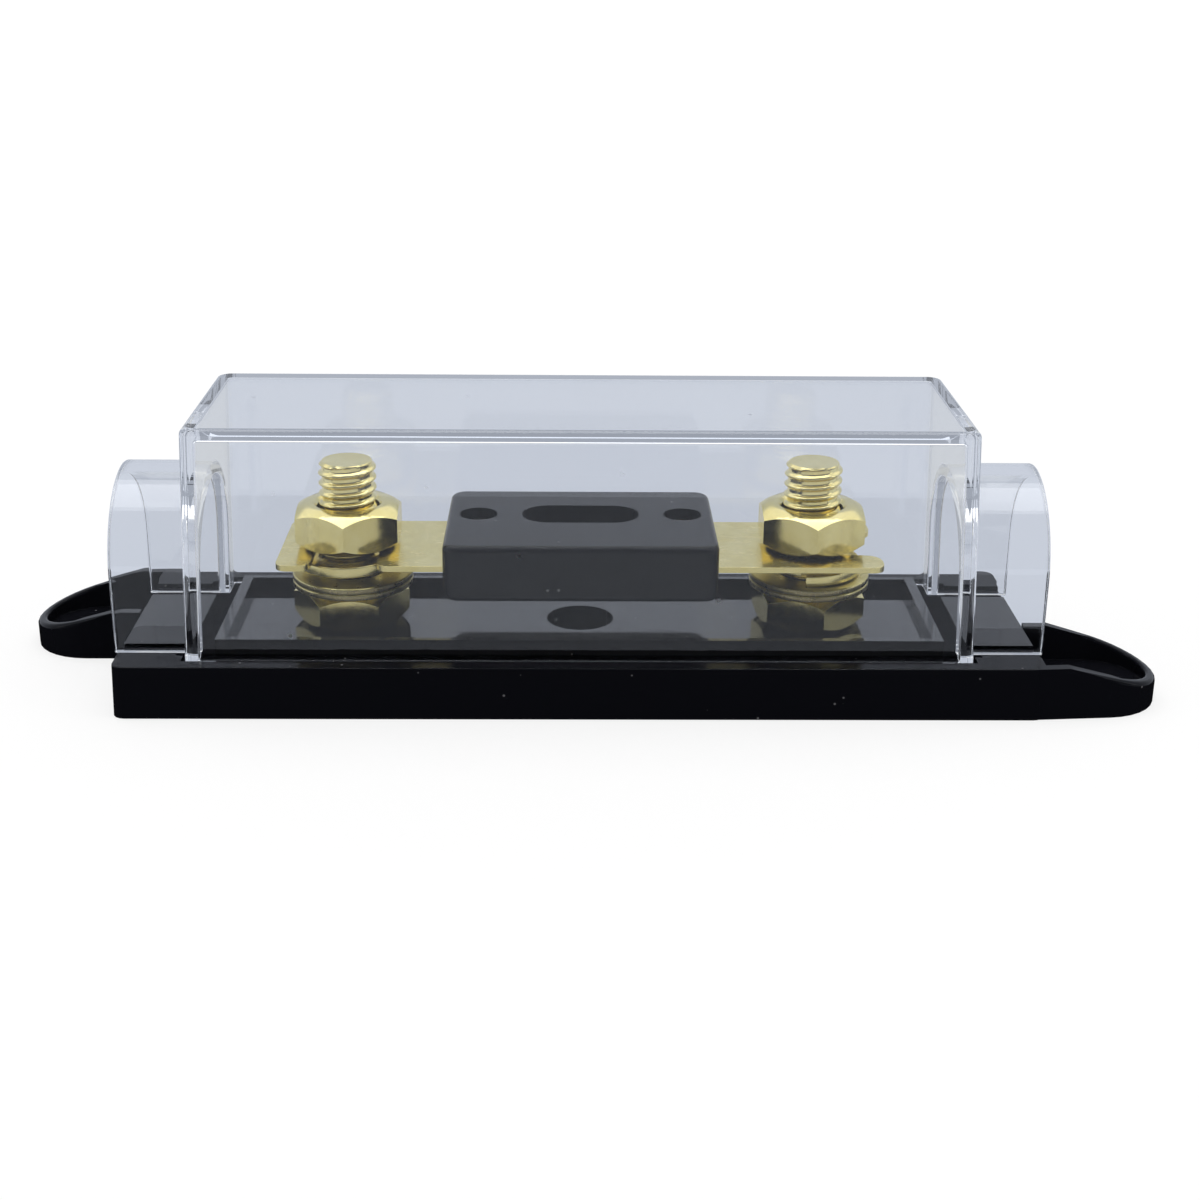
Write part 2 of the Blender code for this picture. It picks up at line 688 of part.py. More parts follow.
def build_body_half(name, up, height, finish):
    """Half of the fuse's body, cut out for the strip, for a chamber round the link and for the eyelets."""
    split = FUSE_MID + up * SEAT_GAP / 2
    far = split + up * height
    low, high = sorted((split, far))
    outline = rounded_rectangle(BODY_LENGTH / 2, BODY_DEPTH / 2, BODY_CORNER_RADIUS)
    mesh = extruded_mesh(name, [outline], low, high)
    half = add_object(name, mesh, finish)
    bevel = half.modifiers.new("Round rim", "BEVEL")
    bevel.width = BODY_EDGE_RADIUS
    bevel.segments = 3
    bevel.limit_method = "WEIGHT"
    weights = mesh.attributes.new("bevel_weight_edge", "FLOAT", "EDGE")
    for edge in mesh.edges:
        if all(abs(mesh.vertices[index].co.z - far) < OVERSHOOT / 10 for index in edge.vertices):
            weights.data[edge.index].value = 1.0

    bed = BLADE_THICKNESS / 2 + SEAT_GAP
    bed_size = (BODY_LENGTH + 2 * OVERSHOOT, BLADE_WIDTH + 2 * FIT_GAP, 2 * bed)
    cut(half, add_object(name + "_bed", box_mesh(name + "_bed", bed_size, (0, 0, FUSE_MID))))
    chamber_size = (CHAMBER_LENGTH, CHAMBER_DEPTH, 2 * CHAMBER_HEIGHT)
    chamber = box_mesh(name + "_chamber", chamber_size, (0, HOLE_LINE_Y, FUSE_MID))
    cut(half, add_object(name + "_chamber", chamber))
    for side, label in ((-1, "left"), (1, "right")):
        at = (side * EYELET_SPACING / 2, HOLE_LINE_Y)
        through = cylinder_mesh(name + "_through", EYELET_OUTER_RADIUS + FIT_GAP, 0, STUD_TOP, at)
        seat = far - up * EYELET_RECESS_DEPTH
        bounds = sorted((seat, far + up * OVERSHOOT))
        sink = cylinder_mesh(name + "_sink", EYELET_RECESS_RADIUS, *bounds, at)
        cut(
            half,
            add_object(f"{name}_{label}_through", through),
            add_object(f"{name}_{label}_sink", sink),
        )
    return half


def build_body(finish):
    lower = build_body_half("fuse_body_lower", -1, BODY_LOWER_HEIGHT, finish)
    upper = build_body_half("fuse_body_upper", 1, BODY_UPPER_HEIGHT, finish)
    top = FUSE_MID + SEAT_GAP / 2 + BODY_UPPER_HEIGHT
    opening = stadium(WINDOW_LENGTH / 2, WINDOW_WIDTH / 2, (0, HOLE_LINE_Y))
    window = extruded_mesh("window_opening", [opening], FUSE_MID, top + OVERSHOOT)
    cut(upper, add_object("window_opening", window))
    return lower, upper


def build_window(finish):
    """A clear pane held up against the roof of the chamber, over the link."""
    size = (WINDOW_LENGTH + 2 * PANE_MARGIN, WINDOW_WIDTH + 2 * PANE_MARGIN, PANE_THICKNESS)
    high = FUSE_MID + CHAMBER_HEIGHT - SEAT_GAP
    pane = box_mesh("fuse_window", size, (0, HOLE_LINE_Y, high - PANE_THICKNESS / 2))
    return add_object("fuse_window", pane, finish)


def build_eyelet(name, side, finish):
    """A hollow rivet through both halves and the strip, with a flange in each recess."""
    sunk = EYELET_RECESS_DEPTH - SEAT_GAP - SEAT_GAP / 2
    above = BODY_UPPER_HEIGHT - sunk
    below = BODY_LOWER_HEIGHT - sunk
    flange = EYELET_RECESS_RADIUS - FIT_GAP
    profile = [
        (EYELET_INNER_RADIUS, above + EYELET_FLANGE),
        (flange, above + EYELET_FLANGE),
        (flange, above),
        (EYELET_OUTER_RADIUS, above),
        (EYELET_OUTER_RADIUS, -below),
        (flange, -below),
        (flange, -below - EYELET_FLANGE),
        (EYELET_INNER_RADIUS, -below - EYELET_FLANGE),
    ]
    at = (side * EYELET_SPACING / 2, HOLE_LINE_Y, FUSE_MID)
    return turned_object(name, profile, finish, at, EYELET_STEPS)


def build_holder():
    black = material("black_plastic", (0.012, 0.012, 0.014), 0.14)
    clear = material("clear_plastic", (0.92, 0.94, 0.97), 0.02, transmission=1.0)
    brass = material("gold_brass", (0.78, 0.66, 0.28), 0.22, metallic=1.0)
    grey = material("grey_plastic", (0.075, 0.077, 0.09), 0.45)

    build_base(black)
    build_cover(clear)
    turns = {
        "left": (-1, LEFT_LOWER_NUT_TURN, LEFT_TOP_NUT_TURN, LEFT_SLIT_ANGLE),
        "right": (1, RIGHT_LOWER_NUT_TURN, RIGHT_TOP_NUT_TURN, RIGHT_SLIT_ANGLE),
    }
    for label, (side, lower_turn, top_turn, slit_at) in turns.items():
        build_stud(label + "_stud", side, brass)
        build_nut(label + "_lower_nut", side, LOWER_NUT_BASE, LOWER_NUT_HEIGHT, lower_turn, brass)
        build_washer(label + "_lower_washer", side, LOWER_WASHER_BASE, brass)
        build_washer(label + "_upper_washer", side, UPPER_WASHER_BASE, brass)
        build_spring_washer(label + "_spring_washer", side, slit_at, brass)
        build_nut(label + "_top_nut", side, TOP_NUT_BASE, TOP_NUT_HEIGHT, top_turn, brass)
        build_eyelet(label + "_eyelet", side, brass)
    build_strip(brass)
    build_body(grey)
    build_window(clear)


clear_scene()
build_holder()
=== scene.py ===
# %% [markdown]
# # The looks of a bolt-down fuse holder
#
# A bolt-down fuse holder is a black moulded base with two brass studs. A flat blade fuse is clamped on the
# studs between nuts and washers, and a clear cover with a cable tunnel at each end stands over it all.
#
# The working solids already exist, at real size. This lesson dresses them: each piece is either given a
# finish, or a finer mesh takes its place at exactly the same spot. The first cell loads those solids. Every
# length is in metres, X runs along the fuse, Y to the back and Z up.

import json
import math

import bmesh
import bpy
from mathutils import Matrix, Vector

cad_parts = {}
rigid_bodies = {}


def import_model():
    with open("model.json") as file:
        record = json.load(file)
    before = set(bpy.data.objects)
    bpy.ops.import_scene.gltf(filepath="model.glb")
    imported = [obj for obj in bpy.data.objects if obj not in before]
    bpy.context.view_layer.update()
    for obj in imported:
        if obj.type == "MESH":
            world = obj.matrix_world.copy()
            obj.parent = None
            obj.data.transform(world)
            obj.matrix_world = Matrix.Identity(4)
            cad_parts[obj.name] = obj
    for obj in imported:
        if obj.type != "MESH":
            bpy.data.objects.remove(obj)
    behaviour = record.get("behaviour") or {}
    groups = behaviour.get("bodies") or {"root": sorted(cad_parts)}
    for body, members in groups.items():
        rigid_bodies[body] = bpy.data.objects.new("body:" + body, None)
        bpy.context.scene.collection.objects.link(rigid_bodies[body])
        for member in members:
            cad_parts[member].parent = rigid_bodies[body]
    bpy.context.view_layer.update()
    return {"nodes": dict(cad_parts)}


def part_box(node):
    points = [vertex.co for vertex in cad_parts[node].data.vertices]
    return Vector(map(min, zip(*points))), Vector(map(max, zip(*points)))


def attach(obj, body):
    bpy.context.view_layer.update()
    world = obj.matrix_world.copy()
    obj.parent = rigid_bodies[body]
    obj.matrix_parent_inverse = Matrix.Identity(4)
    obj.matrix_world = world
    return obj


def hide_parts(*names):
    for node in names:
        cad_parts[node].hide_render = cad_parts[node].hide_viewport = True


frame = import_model()

# %% [markdown]
# ## The camera
#
# A picture is only like another picture when it is taken from the same place. The camera stands a quarter of
# a metre in front of the holder and looks down by about 21 degrees. A camera could also be aimed with a
# constraint, but three named angles say exactly where it looks, and they can be read back later.

# %% Place the camera
CAMERA_PLACE = Vector((-0.00162, -0.24372, 0.10253))
CAMERA_PITCH = math.radians(20.87)
CAMERA_YAW = math.radians(1.03)
CAMERA_ROLL = math.radians(0.54)
LENS_MM = 56.34
SENSOR_MM = 36
NEAREST_SEEN = 0.01

camera_data = bpy.data.cameras.new("camera")
camera_data.lens = LENS_MM
camera_data.sensor_width = SENSOR_MM
camera_data.clip_start = NEAREST_SEEN
camera = bpy.data.objects.new("camera", camera_data)
bpy.context.scene.collection.objects.link(camera)

level_ahead = Vector((math.sin(CAMERA_YAW), math.cos(CAMERA_YAW), 0))
ahead = level_ahead * math.cos(CAMERA_PITCH) - Vector((0, 0, math.sin(CAMERA_PITCH)))
sideways = Vector((math.cos(CAMERA_YAW), -math.sin(CAMERA_YAW), 0))
upwards = sideways.cross(ahead)
rolled_side = math.cos(CAMERA_ROLL) * sideways + math.sin(CAMERA_ROLL) * upwards
rolled_up = math.cos(CAMERA_ROLL) * upwards - math.sin(CAMERA_ROLL) * sideways
camera.matrix_world = (
    Matrix.Translation(CAMERA_PLACE) @ Matrix((rolled_side, rolled_up, -ahead)).transposed().to_4x4()
)
bpy.context.scene.camera = camera
bpy.context.scene.view_settings.view_transform = "Standard"
print("camera at", tuple(round(value, 4) for value in camera.matrix_world.translation))

# %% [markdown]
# ## Node helpers
#
# Every finish here is made of shader nodes, so that it has no seams and needs no image. Building a node tree
# in a script is mostly making nodes and joining sockets. A few small helpers keep the later cells short: they
# fill a node's inputs, do one step of arithmetic, blend two colours or make a pattern.


# %% Helpers for node trees
def fill(tree, node, inputs):
    """Fills a node's inputs with values or with other nodes' outputs."""
    for name, value in inputs.items():
        if isinstance(value, bpy.types.NodeSocket):
            tree.links.new(value, node.inputs[name])
        else:
            node.inputs[name].default_value = value


def add_node(tree, kind, inputs=None, **settings):
    """Adds one node, sets its properties and fills its inputs."""
    node = tree.nodes.new(kind)
    for name, value in settings.items():
        setattr(node, name, value)
    fill(tree, node, inputs or {})
    return node


def calc(tree, operation, *values):
    """One step of arithmetic on numbers or on nodes' outputs."""
    return add_node(tree, "ShaderNodeMath", dict(enumerate(values)), operation=operation).outputs[0]


def blend(tree, share, first, second):
    """A colour that goes from the first to the second as the share goes from 0 to 1."""
    ends = [end if isinstance(end, bpy.types.NodeSocket) else (*end, 1) for end in (first, second)]
    inputs = {0: share, 6: ends[0], 7: ends[1]}
    return add_node(tree, "ShaderNodeMix", inputs, data_type="RGBA").outputs[2]


def ramp(tree, factor, *stops):
    """A colour ramp from (place, grey or colour) stops."""
    node = add_node(tree, "ShaderNodeValToRGB", {"Fac": factor})
    elements = node.color_ramp.elements
    while len(elements) < len(stops):
        elements.new(0.5)
    for element, (place, colour) in zip(elements, stops):
        shade = (colour, colour, colour) if isinstance(colour, (int, float)) else colour
        element.position = place
        element.color = (*shade, 1)
    return node.outputs["Color"]


def noise(tree, place, scale, detail):
    """A soft random pattern between 0 and 1."""
    inputs = {"Vector": place, "Scale": scale, "Detail": detail}
    return add_node(tree, "ShaderNodeTexNoise", inputs).outputs["Fac"]


def object_place(tree):
    """Coordinates that are fixed to the object, so that a pattern moves with it."""
    return add_node(tree, "ShaderNodeTexCoord").outputs["Object"]


def dimmed(colour, share):
    """A colour at a share of its strength."""
    return tuple(share * value for value in colour)


print("node helpers ready")

# %% [markdown]
# ## A white studio
#
# The holder is pictured on pure white. The world is white where the camera meets it, a pale blue-grey paper
# where a mirror reflection or a look through the plastic does, and plain white at a lower strength where it
# only lights the pieces, so that a colour comes out about as it is written. The Light Path node tells these
# rays apart. The side behind the camera is darker for reflections, as a room is: without something dark to
# mirror, metal and gloss would have no shape. What the clear plastic bends inside its own walls stays pale,
# and the pieces under the cover also mirror a bright window high up at the back, which lights the nuts'
# crowns.

# %% Helpers that tell rays apart
ONE_WALL = 0.5
UNDER_COVER = 2.5
ONE_BOUNCE = 0.5


def ray_facts(tree):
    """The outputs of a Light Path node, which say how a ray got here."""
    return add_node(tree, "ShaderNodeLightPath").outputs


def in_mirror_or_glass(tree, rays):
    """1 for a ray that comes from a mirror or through glass."""
    return calc(tree, "MAXIMUM", rays["Is Glossy Ray"], rays["Is Transmission Ray"])


def more_than(tree, count, limit):
    """1 where a ray has passed more walls, or has bounced more often, than a limit."""
    return calc(tree, "GREATER_THAN", count, limit)


print("ray helpers ready")

# %% Light the world
SKY_ON_SURFACES = 0.6
PAPER = (0.60, 0.64, 0.72)
ROOM_SHADE = 0.12
BACK_WINDOW = (1.20, 1.20, 1.15)

world = bpy.data.worlds.new("studio")
world.use_nodes = True
bpy.context.scene.world = world
tree = world.node_tree
tree.nodes.clear()
rays = ray_facts(tree)
direction = add_node(tree, "ShaderNodeTexCoord").outputs["Generated"]
axes = add_node(tree, "ShaderNodeSeparateXYZ", {"Vector": direction}).outputs
front_to_back = add_node(
    tree, "ShaderNodeMapRange", {"Value": axes["Y"], "From Min": -1.0, "From Max": 1.0}
).outputs["Result"]
dark_front = ramp(tree, front_to_back, (0.30, dimmed(PAPER, ROOM_SHADE)), (0.50, PAPER))
outside = calc(tree, "LESS_THAN", rays["Transmission Depth"], ONE_WALL)
under_cover = more_than(tree, rays["Transmission Depth"], UNDER_COVER)
on_pieces = calc(tree, "MAXIMUM", outside, under_cover)
room = blend(tree, on_pieces, PAPER, dark_front)
back = ramp(tree, front_to_back, (0.50, 0.0), (0.62, 1.0))
high_up = ramp(tree, axes["Z"], (0.42, 0.0), (0.50, 1.0))
lit_back = calc(tree, "MULTIPLY", calc(tree, "MULTIPLY", back, high_up), under_cover)
room = blend(tree, lit_back, room, BACK_WINDOW)
lighting = blend(tree, in_mirror_or_glass(tree, rays), (SKY_ON_SURFACES,) * 3, room)
seen = blend(tree, rays["Is Camera Ray"], lighting, (1, 1, 1))
sky = add_node(tree, "ShaderNodeBackground", {"Color": seen})
add_node(tree, "ShaderNodeOutputWorld", {"Surface": sky.outputs["Background"]})
print("sky strength on surfaces:", SKY_ON_SURFACES)

# %% [markdown]
# ### Soft lamps
#
# A small lamp would leave a hard dot on every metal face, so things like this are lit with large soft boxes.
# One hangs overhead and two narrow strips stand at the sides, where they draw bright lines down the nuts. A
# lamp's power follows from how bright its face should look, so its size can change and its look stays.

# %% Hang the soft lamps
LAMPS = {
    "overhead_softbox": ((0.0, 0.08, 0.75), (0.9, 0.6), 1.4),
    "left_strip": ((-0.55, -0.12, 0.28), (0.14, 0.5), 1.5),
    "right_strip": ((0.55, -0.12, 0.28), (0.14, 0.5), 1.5),
}

for name, (place, (width, depth), radiance) in LAMPS.items():
    lamp = bpy.data.lights.new(name, "AREA")
    lamp.shape = "RECTANGLE"
    lamp.size, lamp.size_y = width, depth
    lamp.energy = radiance * math.pi * width * depth
    lamp_object = bpy.data.objects.new(name, lamp)
    lamp_object.location = place
    lamp_object.rotation_euler = (-Vector(place)).to_track_quat("-Z", "Y").to_euler()
    bpy.context.scene.collection.objects.link(lamp_object)
print("lamps:", [light.name for light in bpy.data.lights])

# %% [markdown]
# ## The floor
#
# The floor is a plain white sheet that keeps a soft shadow of the holder. A lit white sheet never comes out
# as pure white by itself, so part of its brightness is its own glow for the camera, for mirrors and for
# glass, while the rest still comes from the lamps and so still shows the shadow. The lamps reach less far
# than the floor does, so the glow makes up for them with distance.

# %% Helpers for sheets
def blank_material(name):
    """A material with an empty node tree, and that tree."""
    material = bpy.data.materials.new(name)
    material.use_nodes = True
    material.node_tree.nodes.clear()
    return material, material.node_tree


def flat_sheet(name, size_x, size_y, place, material):
    """A level rectangle, from its two sizes and the place of its middle."""
    form = bmesh.new()
    bmesh.ops.create_grid(form, x_segments=1, y_segments=1, size=0.5)
    bmesh.ops.scale(form, vec=(size_x, size_y, 1), verts=form.verts)
    mesh = bpy.data.meshes.new(name)
    form.to_mesh(mesh)
    form.free()
    mesh.materials.append(material)
    sheet = bpy.data.objects.new(name, mesh)
    sheet.location = place
    bpy.context.scene.collection.objects.link(sheet)
    return sheet


print("sheet helpers ready")

# %% Make the floor's white
FLOOR_WHITE = 0.27
FLOOR_GLOW = 0.75
GLOW_RISES = (0.15, 0.60)
MIRRORED_GLOW = (0.38, 0.39, 0.38)
SEEN_THROUGH_GLOW = (0.36, 0.40, 0.48)

white_sheet, tree = blank_material("white_sheet")
rays = ray_facts(tree)
far = add_node(tree, "ShaderNodeVectorMath", {0: object_place(tree)}, operation="LENGTH").outputs["Value"]
camera_glow = ramp(tree, far, (GLOW_RISES[0], FLOOR_GLOW), (GLOW_RISES[1], 1.0))
glow_by_ray = blend(tree, rays["Is Camera Ray"], (0, 0, 0), camera_glow)
under_cover = more_than(tree, rays["Transmission Depth"], UNDER_COVER)
bounces_there = calc(tree, "MULTIPLY", rays["Glossy Depth"], under_cover)
bounced = more_than(tree, bounces_there, ONE_BOUNCE)
paper_glow = blend(tree, bounced, SEEN_THROUGH_GLOW, MIRRORED_GLOW)
glow_colour = blend(tree, in_mirror_or_glass(tree, rays), glow_by_ray, paper_glow)
glow = add_node(tree, "ShaderNodeEmission", {"Color": glow_colour}).outputs[0]
grain = add_node(tree, "ShaderNodeTexNoise", {"Scale": 40.0}).outputs["Fac"]
paper = ramp(tree, grain, (0.3, FLOOR_WHITE * 0.985), (0.7, FLOOR_WHITE))
lit_paper = add_node(tree, "ShaderNodeBsdfDiffuse", {"Color": paper}).outputs[0]
both = add_node(tree, "ShaderNodeAddShader", {0: glow, 1: lit_paper}).outputs[0]
add_node(tree, "ShaderNodeOutputMaterial", {"Surface": both})
print("the floor's own glow beside the holder:", FLOOR_GLOW)

# %% Lay the floor
FLOOR_SIZE = 6.0
FLOOR_DROP = 0.00002

floor = flat_sheet("floor", FLOOR_SIZE, FLOOR_SIZE, (0, 0, -FLOOR_DROP), white_sheet)
print("floor laid,", FLOOR_SIZE, "m square")

# %% [markdown]
# ### A black card that paints shade into reflections
#
# The holder's outer walls are polished black and mirror whatever lies right beside them. A black card stands
# in for the shade round the foot of the base and on the ground in front of it: it is painted shade, seen in
# mirror reflections only, so it neither darkens the floor nor casts a shadow. What one wall of the cover
# mirrors inside itself shows the card a little faded, and what lies under the cover mirrors only the strip of
# it that is nearest to the base.

# %% Make the card's black
CARD_MARGIN = 0.017
CARD_FRONT = 0.125
CARD_FADE = 0.06
CARD_NEAR = (-0.052, -0.042)

card_middle = (CARD_MARGIN - CARD_FRONT) / 2
shade_card_black, tree = blank_material("shade_card_black")
fibres = add_node(tree, "ShaderNodeTexNoise", {"Scale": 300.0}).outputs["Fac"]
# The card's near black is painted shade: mirrors show it where the shade beside and in front of the base
# lies.
shade_card_colour = ramp(tree, fibres, (0.3, 0.004), (0.7, 0.007))
shade_sheet = add_node(tree, "ShaderNodeBsdfDiffuse", {"Color": shade_card_colour}).outputs[0]
nothing = add_node(tree, "ShaderNodeBsdfTransparent").outputs[0]
rays = ray_facts(tree)
through_a_wall = more_than(tree, rays["Transmission Depth"], ONE_WALL)
under_cover = more_than(tree, rays["Transmission Depth"], UNDER_COVER)
faded = calc(tree, "MULTIPLY", through_a_wall, CARD_FADE)
along_y = add_node(tree, "ShaderNodeSeparateXYZ", {"Vector": object_place(tree)}).outputs["Y"]
fall_off = {"From Min": CARD_NEAR[0], "From Max": CARD_NEAR[1], "To Min": 1.0, "To Max": 0.0}
card_y = calc(tree, "ADD", along_y, card_middle)
beyond = add_node(tree, "ShaderNodeMapRange", {"Value": card_y, **fall_off}).outputs["Result"]
unbounced = calc(tree, "LESS_THAN", rays["Glossy Depth"], ONE_BOUNCE)
clear_here = calc(tree, "MAXIMUM", beyond, unbounced)
open_card = calc(tree, "MULTIPLY", under_cover, clear_here)
fade = calc(tree, "MAXIMUM", faded, open_card)
chosen = add_node(tree, "ShaderNodeMixShader", {0: fade, 1: shade_sheet, 2: nothing}).outputs[0]
add_node(tree, "ShaderNodeOutputMaterial", {"Surface": chosen})
print("one wall of plastic fades the card by", CARD_FADE)

# %% Lay the black card
low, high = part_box("base")
card = flat_sheet(
    "shade_card",
    high.x - low.x + 2 * CARD_MARGIN,
    high.y - low.y + CARD_FRONT + CARD_MARGIN,
    (0, card_middle, -FLOOR_DROP / 2),
    shade_card_black,
)
for kind in ("camera", "diffuse", "transmission", "shadow"):
    setattr(card, "visible_" + kind, False)
print("black card reaches", CARD_MARGIN, "m past the base")

# %% [markdown]
# ## Modelling helpers
#
# Most pieces here come from a few workshop moves: turning a profile, raising a flat outline, cutting one
# shape with another, and breaking sharp edges. Each helper below is one of them. They return plain meshes,
# so a piece becomes an object only when it is finished.


# %% Helpers for turning and outlines
def arc(centre, radius, start, end, steps):
    """Points along a round stretch, from one angle in degrees to another."""
    sweep = [math.radians(start + (end - start) * step / steps) for step in range(steps + 1)]
    return [(centre[0] + radius * math.cos(a), centre[1] + radius * math.sin(a)) for a in sweep]


def mesh_of(name, form):
    """Turns a bmesh into a mesh whose faces point out."""
    bmesh.ops.recalc_face_normals(form, faces=form.faces)
    mesh = bpy.data.meshes.new(name)
    form.to_mesh(mesh)
    form.free()
    return mesh


def stacked_rings(name, rings):
    """Skins a pile of closed loops of equal length and caps both ends."""
    form = bmesh.new()
    loops = [[form.verts.new(point) for point in ring] for ring in rings]
    for lower, upper in zip(loops, loops[1:]):
        for index in range(len(lower)):
            after = (index + 1) % len(lower)
            form.faces.new((lower[index], lower[after], upper[after], upper[index]))
    form.faces.new(loops[0])
    form.faces.new(loops[-1])
    return mesh_of(name, form)


def turned(name, profile, steps):
    """Turns a closed (radius, height) profile about Z. A point on the axis stays a single point."""
    form = bmesh.new()
    angles = [2 * math.pi * step / steps for step in range(steps)]
    rings = []
    for radius, height in profile:
        spots = angles if radius > 0 else [0.0]
        rings.append([form.verts.new((radius * math.cos(a), radius * math.sin(a), height)) for a in spots])
    for one, other in zip(rings, rings[1:] + rings[:1]):
        if len(one) == 1 and len(other) == 1:
            continue
        for here in range(steps):
            after = (here + 1) % steps
            pairs = ((one, here), (one, after), (other, after), (other, here))
            corners = [ring[index % len(ring)] for ring, index in pairs]
            form.faces.new(list(dict.fromkeys(corners)))
    return mesh_of(name, form)


def raised(name, outline, low, high):
    """Raises one flat outline into a plate."""
    form = bmesh.new()
    face = form.faces.new([form.verts.new((x, y, low)) for x, y in outline])
    pushed = bmesh.ops.extrude_face_region(form, geom=[face])["geom"]
    top = [item for item in pushed if isinstance(item, bmesh.types.BMVert)]
    bmesh.ops.translate(form, vec=(0, 0, high - low), verts=top)
    return mesh_of(name, form)


def box(name, low, high):
    """A plain block between two corners, used to cut with."""
    outline = [(low[0], low[1]), (high[0], low[1]), (high[0], high[1]), (low[0], high[1])]
    return raised(name, outline, low[2], high[2])


def circle(centre, radius, count):
    """A round outline of so many points."""
    return arc(centre, radius, 0, 360 - 360 / count, count - 1)


def hexagon(corner, start):
    """A hexagon's outline, from its corner radius and its first corner's direction in degrees."""
    return arc((0, 0), corner, start, start + 300, 5)


def rounded_rectangle(low, high, corner, steps):
    """A rectangle's outline between two points, with its four corners rounded."""
    left, right = low[0] + corner, high[0] - corner
    front, back = low[1] + corner, high[1] - corner
    outline = []
    for quarter, centre in enumerate(((right, front), (right, back), (left, back), (left, front))):
        outline += arc(centre, corner, 90 * quarter - 90, 90 * quarter, steps)
    return outline


def level_loop(half_x, half_y, corner, height, steps):
    """A rounded rectangle about the middle, at one height."""
    outline = rounded_rectangle((-half_x, -half_y), (half_x, half_y), corner, steps)
    return [(x, y, height) for x, y in outline]


print("turning and outline helpers ready")


# %% Helpers for cutting, rounding and placing
WELD_DISTANCE = 0.000002
LEVEL = 0.9


def carved(mesh, operation, *tools):
    """The mesh after an exact Boolean with each tool in turn."""
    work = bpy.data.objects.new("work", mesh)
    bpy.context.scene.collection.objects.link(work)
    helpers = []
    for tool in tools:
        helper = bpy.data.objects.new("tool", tool)
        bpy.context.scene.collection.objects.link(helper)
        step = work.modifiers.new("Carve", "BOOLEAN")
        step.operation = operation
        step.solver = "EXACT"
        step.object = helper
        helpers.append(helper)
    graph = bpy.context.evaluated_depsgraph_get()
    result = bpy.data.meshes.new_from_object(work.evaluated_get(graph))
    result.name = mesh.name
    for spent in [work] + helpers:
        bpy.data.objects.remove(spent, do_unlink=True)
    return result


def cleaned(mesh, angle=1.0):
    """Welds split corners and clears the lines inside flat faces, so that edges can be rounded.

    Faces that look straight down keep their lines: those round the ribs' cells have many holes."""
    form = bmesh.new()
    form.from_mesh(mesh)
    bmesh.ops.remove_doubles(form, verts=form.verts, dist=WELD_DISTANCE)
    form.normal_update()
    lines = [edge for edge in form.edges if any(face.normal.z > -LEVEL for face in edge.link_faces)]
    bmesh.ops.dissolve_limit(
        form, angle_limit=math.radians(angle), verts=[], edges=lines, use_dissolve_boundaries=False
    )
    return mesh_of(mesh.name, form)


def add_piece(name, mesh, finish, body, slot, *nodes):
    """Links a finished mesh as a piece that stands for some of the solids."""
    mesh.materials.clear()
    mesh.materials.append(finish)
    piece = bpy.data.objects.new(name, mesh)
    bpy.context.scene.collection.objects.link(piece)
    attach(piece, body)
    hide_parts(*nodes)
    return piece


def break_edges(piece, width, segments=2, angle=30, finish_index=-1):
    """Rounds every edge sharper than an angle and keeps the flats flat."""
    piece.data.set_sharp_from_angle(angle=math.radians(angle))
    bevel = piece.modifiers.new("Break edges", "BEVEL")
    bevel.width = width
    bevel.segments = segments
    bevel.limit_method = "ANGLE"
    bevel.angle_limit = math.radians(angle)
    bevel.use_clamp_overlap = True
    bevel.miter_outer = "MITER_ARC"
    bevel.material = finish_index
    smooth = piece.modifiers.new("Keep flats flat", "WEIGHTED_NORMAL")
    smooth.keep_sharp = True


print("cutting and placing helpers ready")

# %% [markdown]
# ## Finish: glossy black moulding
#
# The base is moulded in a polished tool, so it mirrors like piano lacquer. A perfectly even gloss looks like
# a computer's, not a product's: the real one has a faint waviness, a few fine scratches and specks of dust.
# Each of these is a texture that changes the roughness or the colour a little. The parts that the cover
# shelters mirror fully. The outer rim, the walls, the ears, the pads and the ledge's tops get copies that
# mirror less and are a little rougher, so that they come out darker: that is painted shade. The rounded edges
# get a copy that mirrors more than the outer walls, which paints bright lines along them.

# %% Helpers for finishes
def new_finish(name):
    """A new material with its tree, its shader, and coordinates that are fixed to the object."""
    finish = bpy.data.materials.new(name)
    finish.use_nodes = True
    tree = finish.node_tree
    return finish, tree, tree.nodes["Principled BSDF"], object_place(tree)


def dust_mask(tree, place, cells, share):
    """White specks: the cores of the few cells whose random value is highest."""
    cell = add_node(tree, "ShaderNodeTexVoronoi", {"Vector": place, "Scale": cells})
    near = ramp(tree, cell.outputs["Distance"], (0.10, 1.0), (0.18, 0.0))
    lot = add_node(tree, "ShaderNodeSeparateColor", {"Color": cell.outputs["Color"]}).outputs["Red"]
    return calc(tree, "MULTIPLY", near, calc(tree, "GREATER_THAN", lot, 1 - share))


def scratch_mask(tree, place, stretch, amount):
    """Hairlines: a noise squeezed one way, of which only the thin ridges are kept."""
    squeezed = add_node(tree, "ShaderNodeMapping", {"Vector": place, "Scale": stretch}).outputs["Vector"]
    return ramp(tree, noise(tree, squeezed, 1.0, 4.0), (0.62, 0.0), (0.66, amount), (0.70, 0.0))


def dents(tree, height, strength, distance):
    """A bump that follows a pattern."""
    inputs = {"Height": height, "Strength": strength, "Distance": distance}
    return add_node(tree, "ShaderNodeBump", inputs).outputs["Normal"]


print("finish helpers ready")

# %% Make the blacks
BLACK = (0.0065, 0.0068, 0.0095)
DUST_GREY = (0.16, 0.16, 0.17)
DUST_CELLS = 900.0
DUST_SHARE = 0.03
BLACK_SCRATCHES = (70.0, 1500.0, 1500.0)
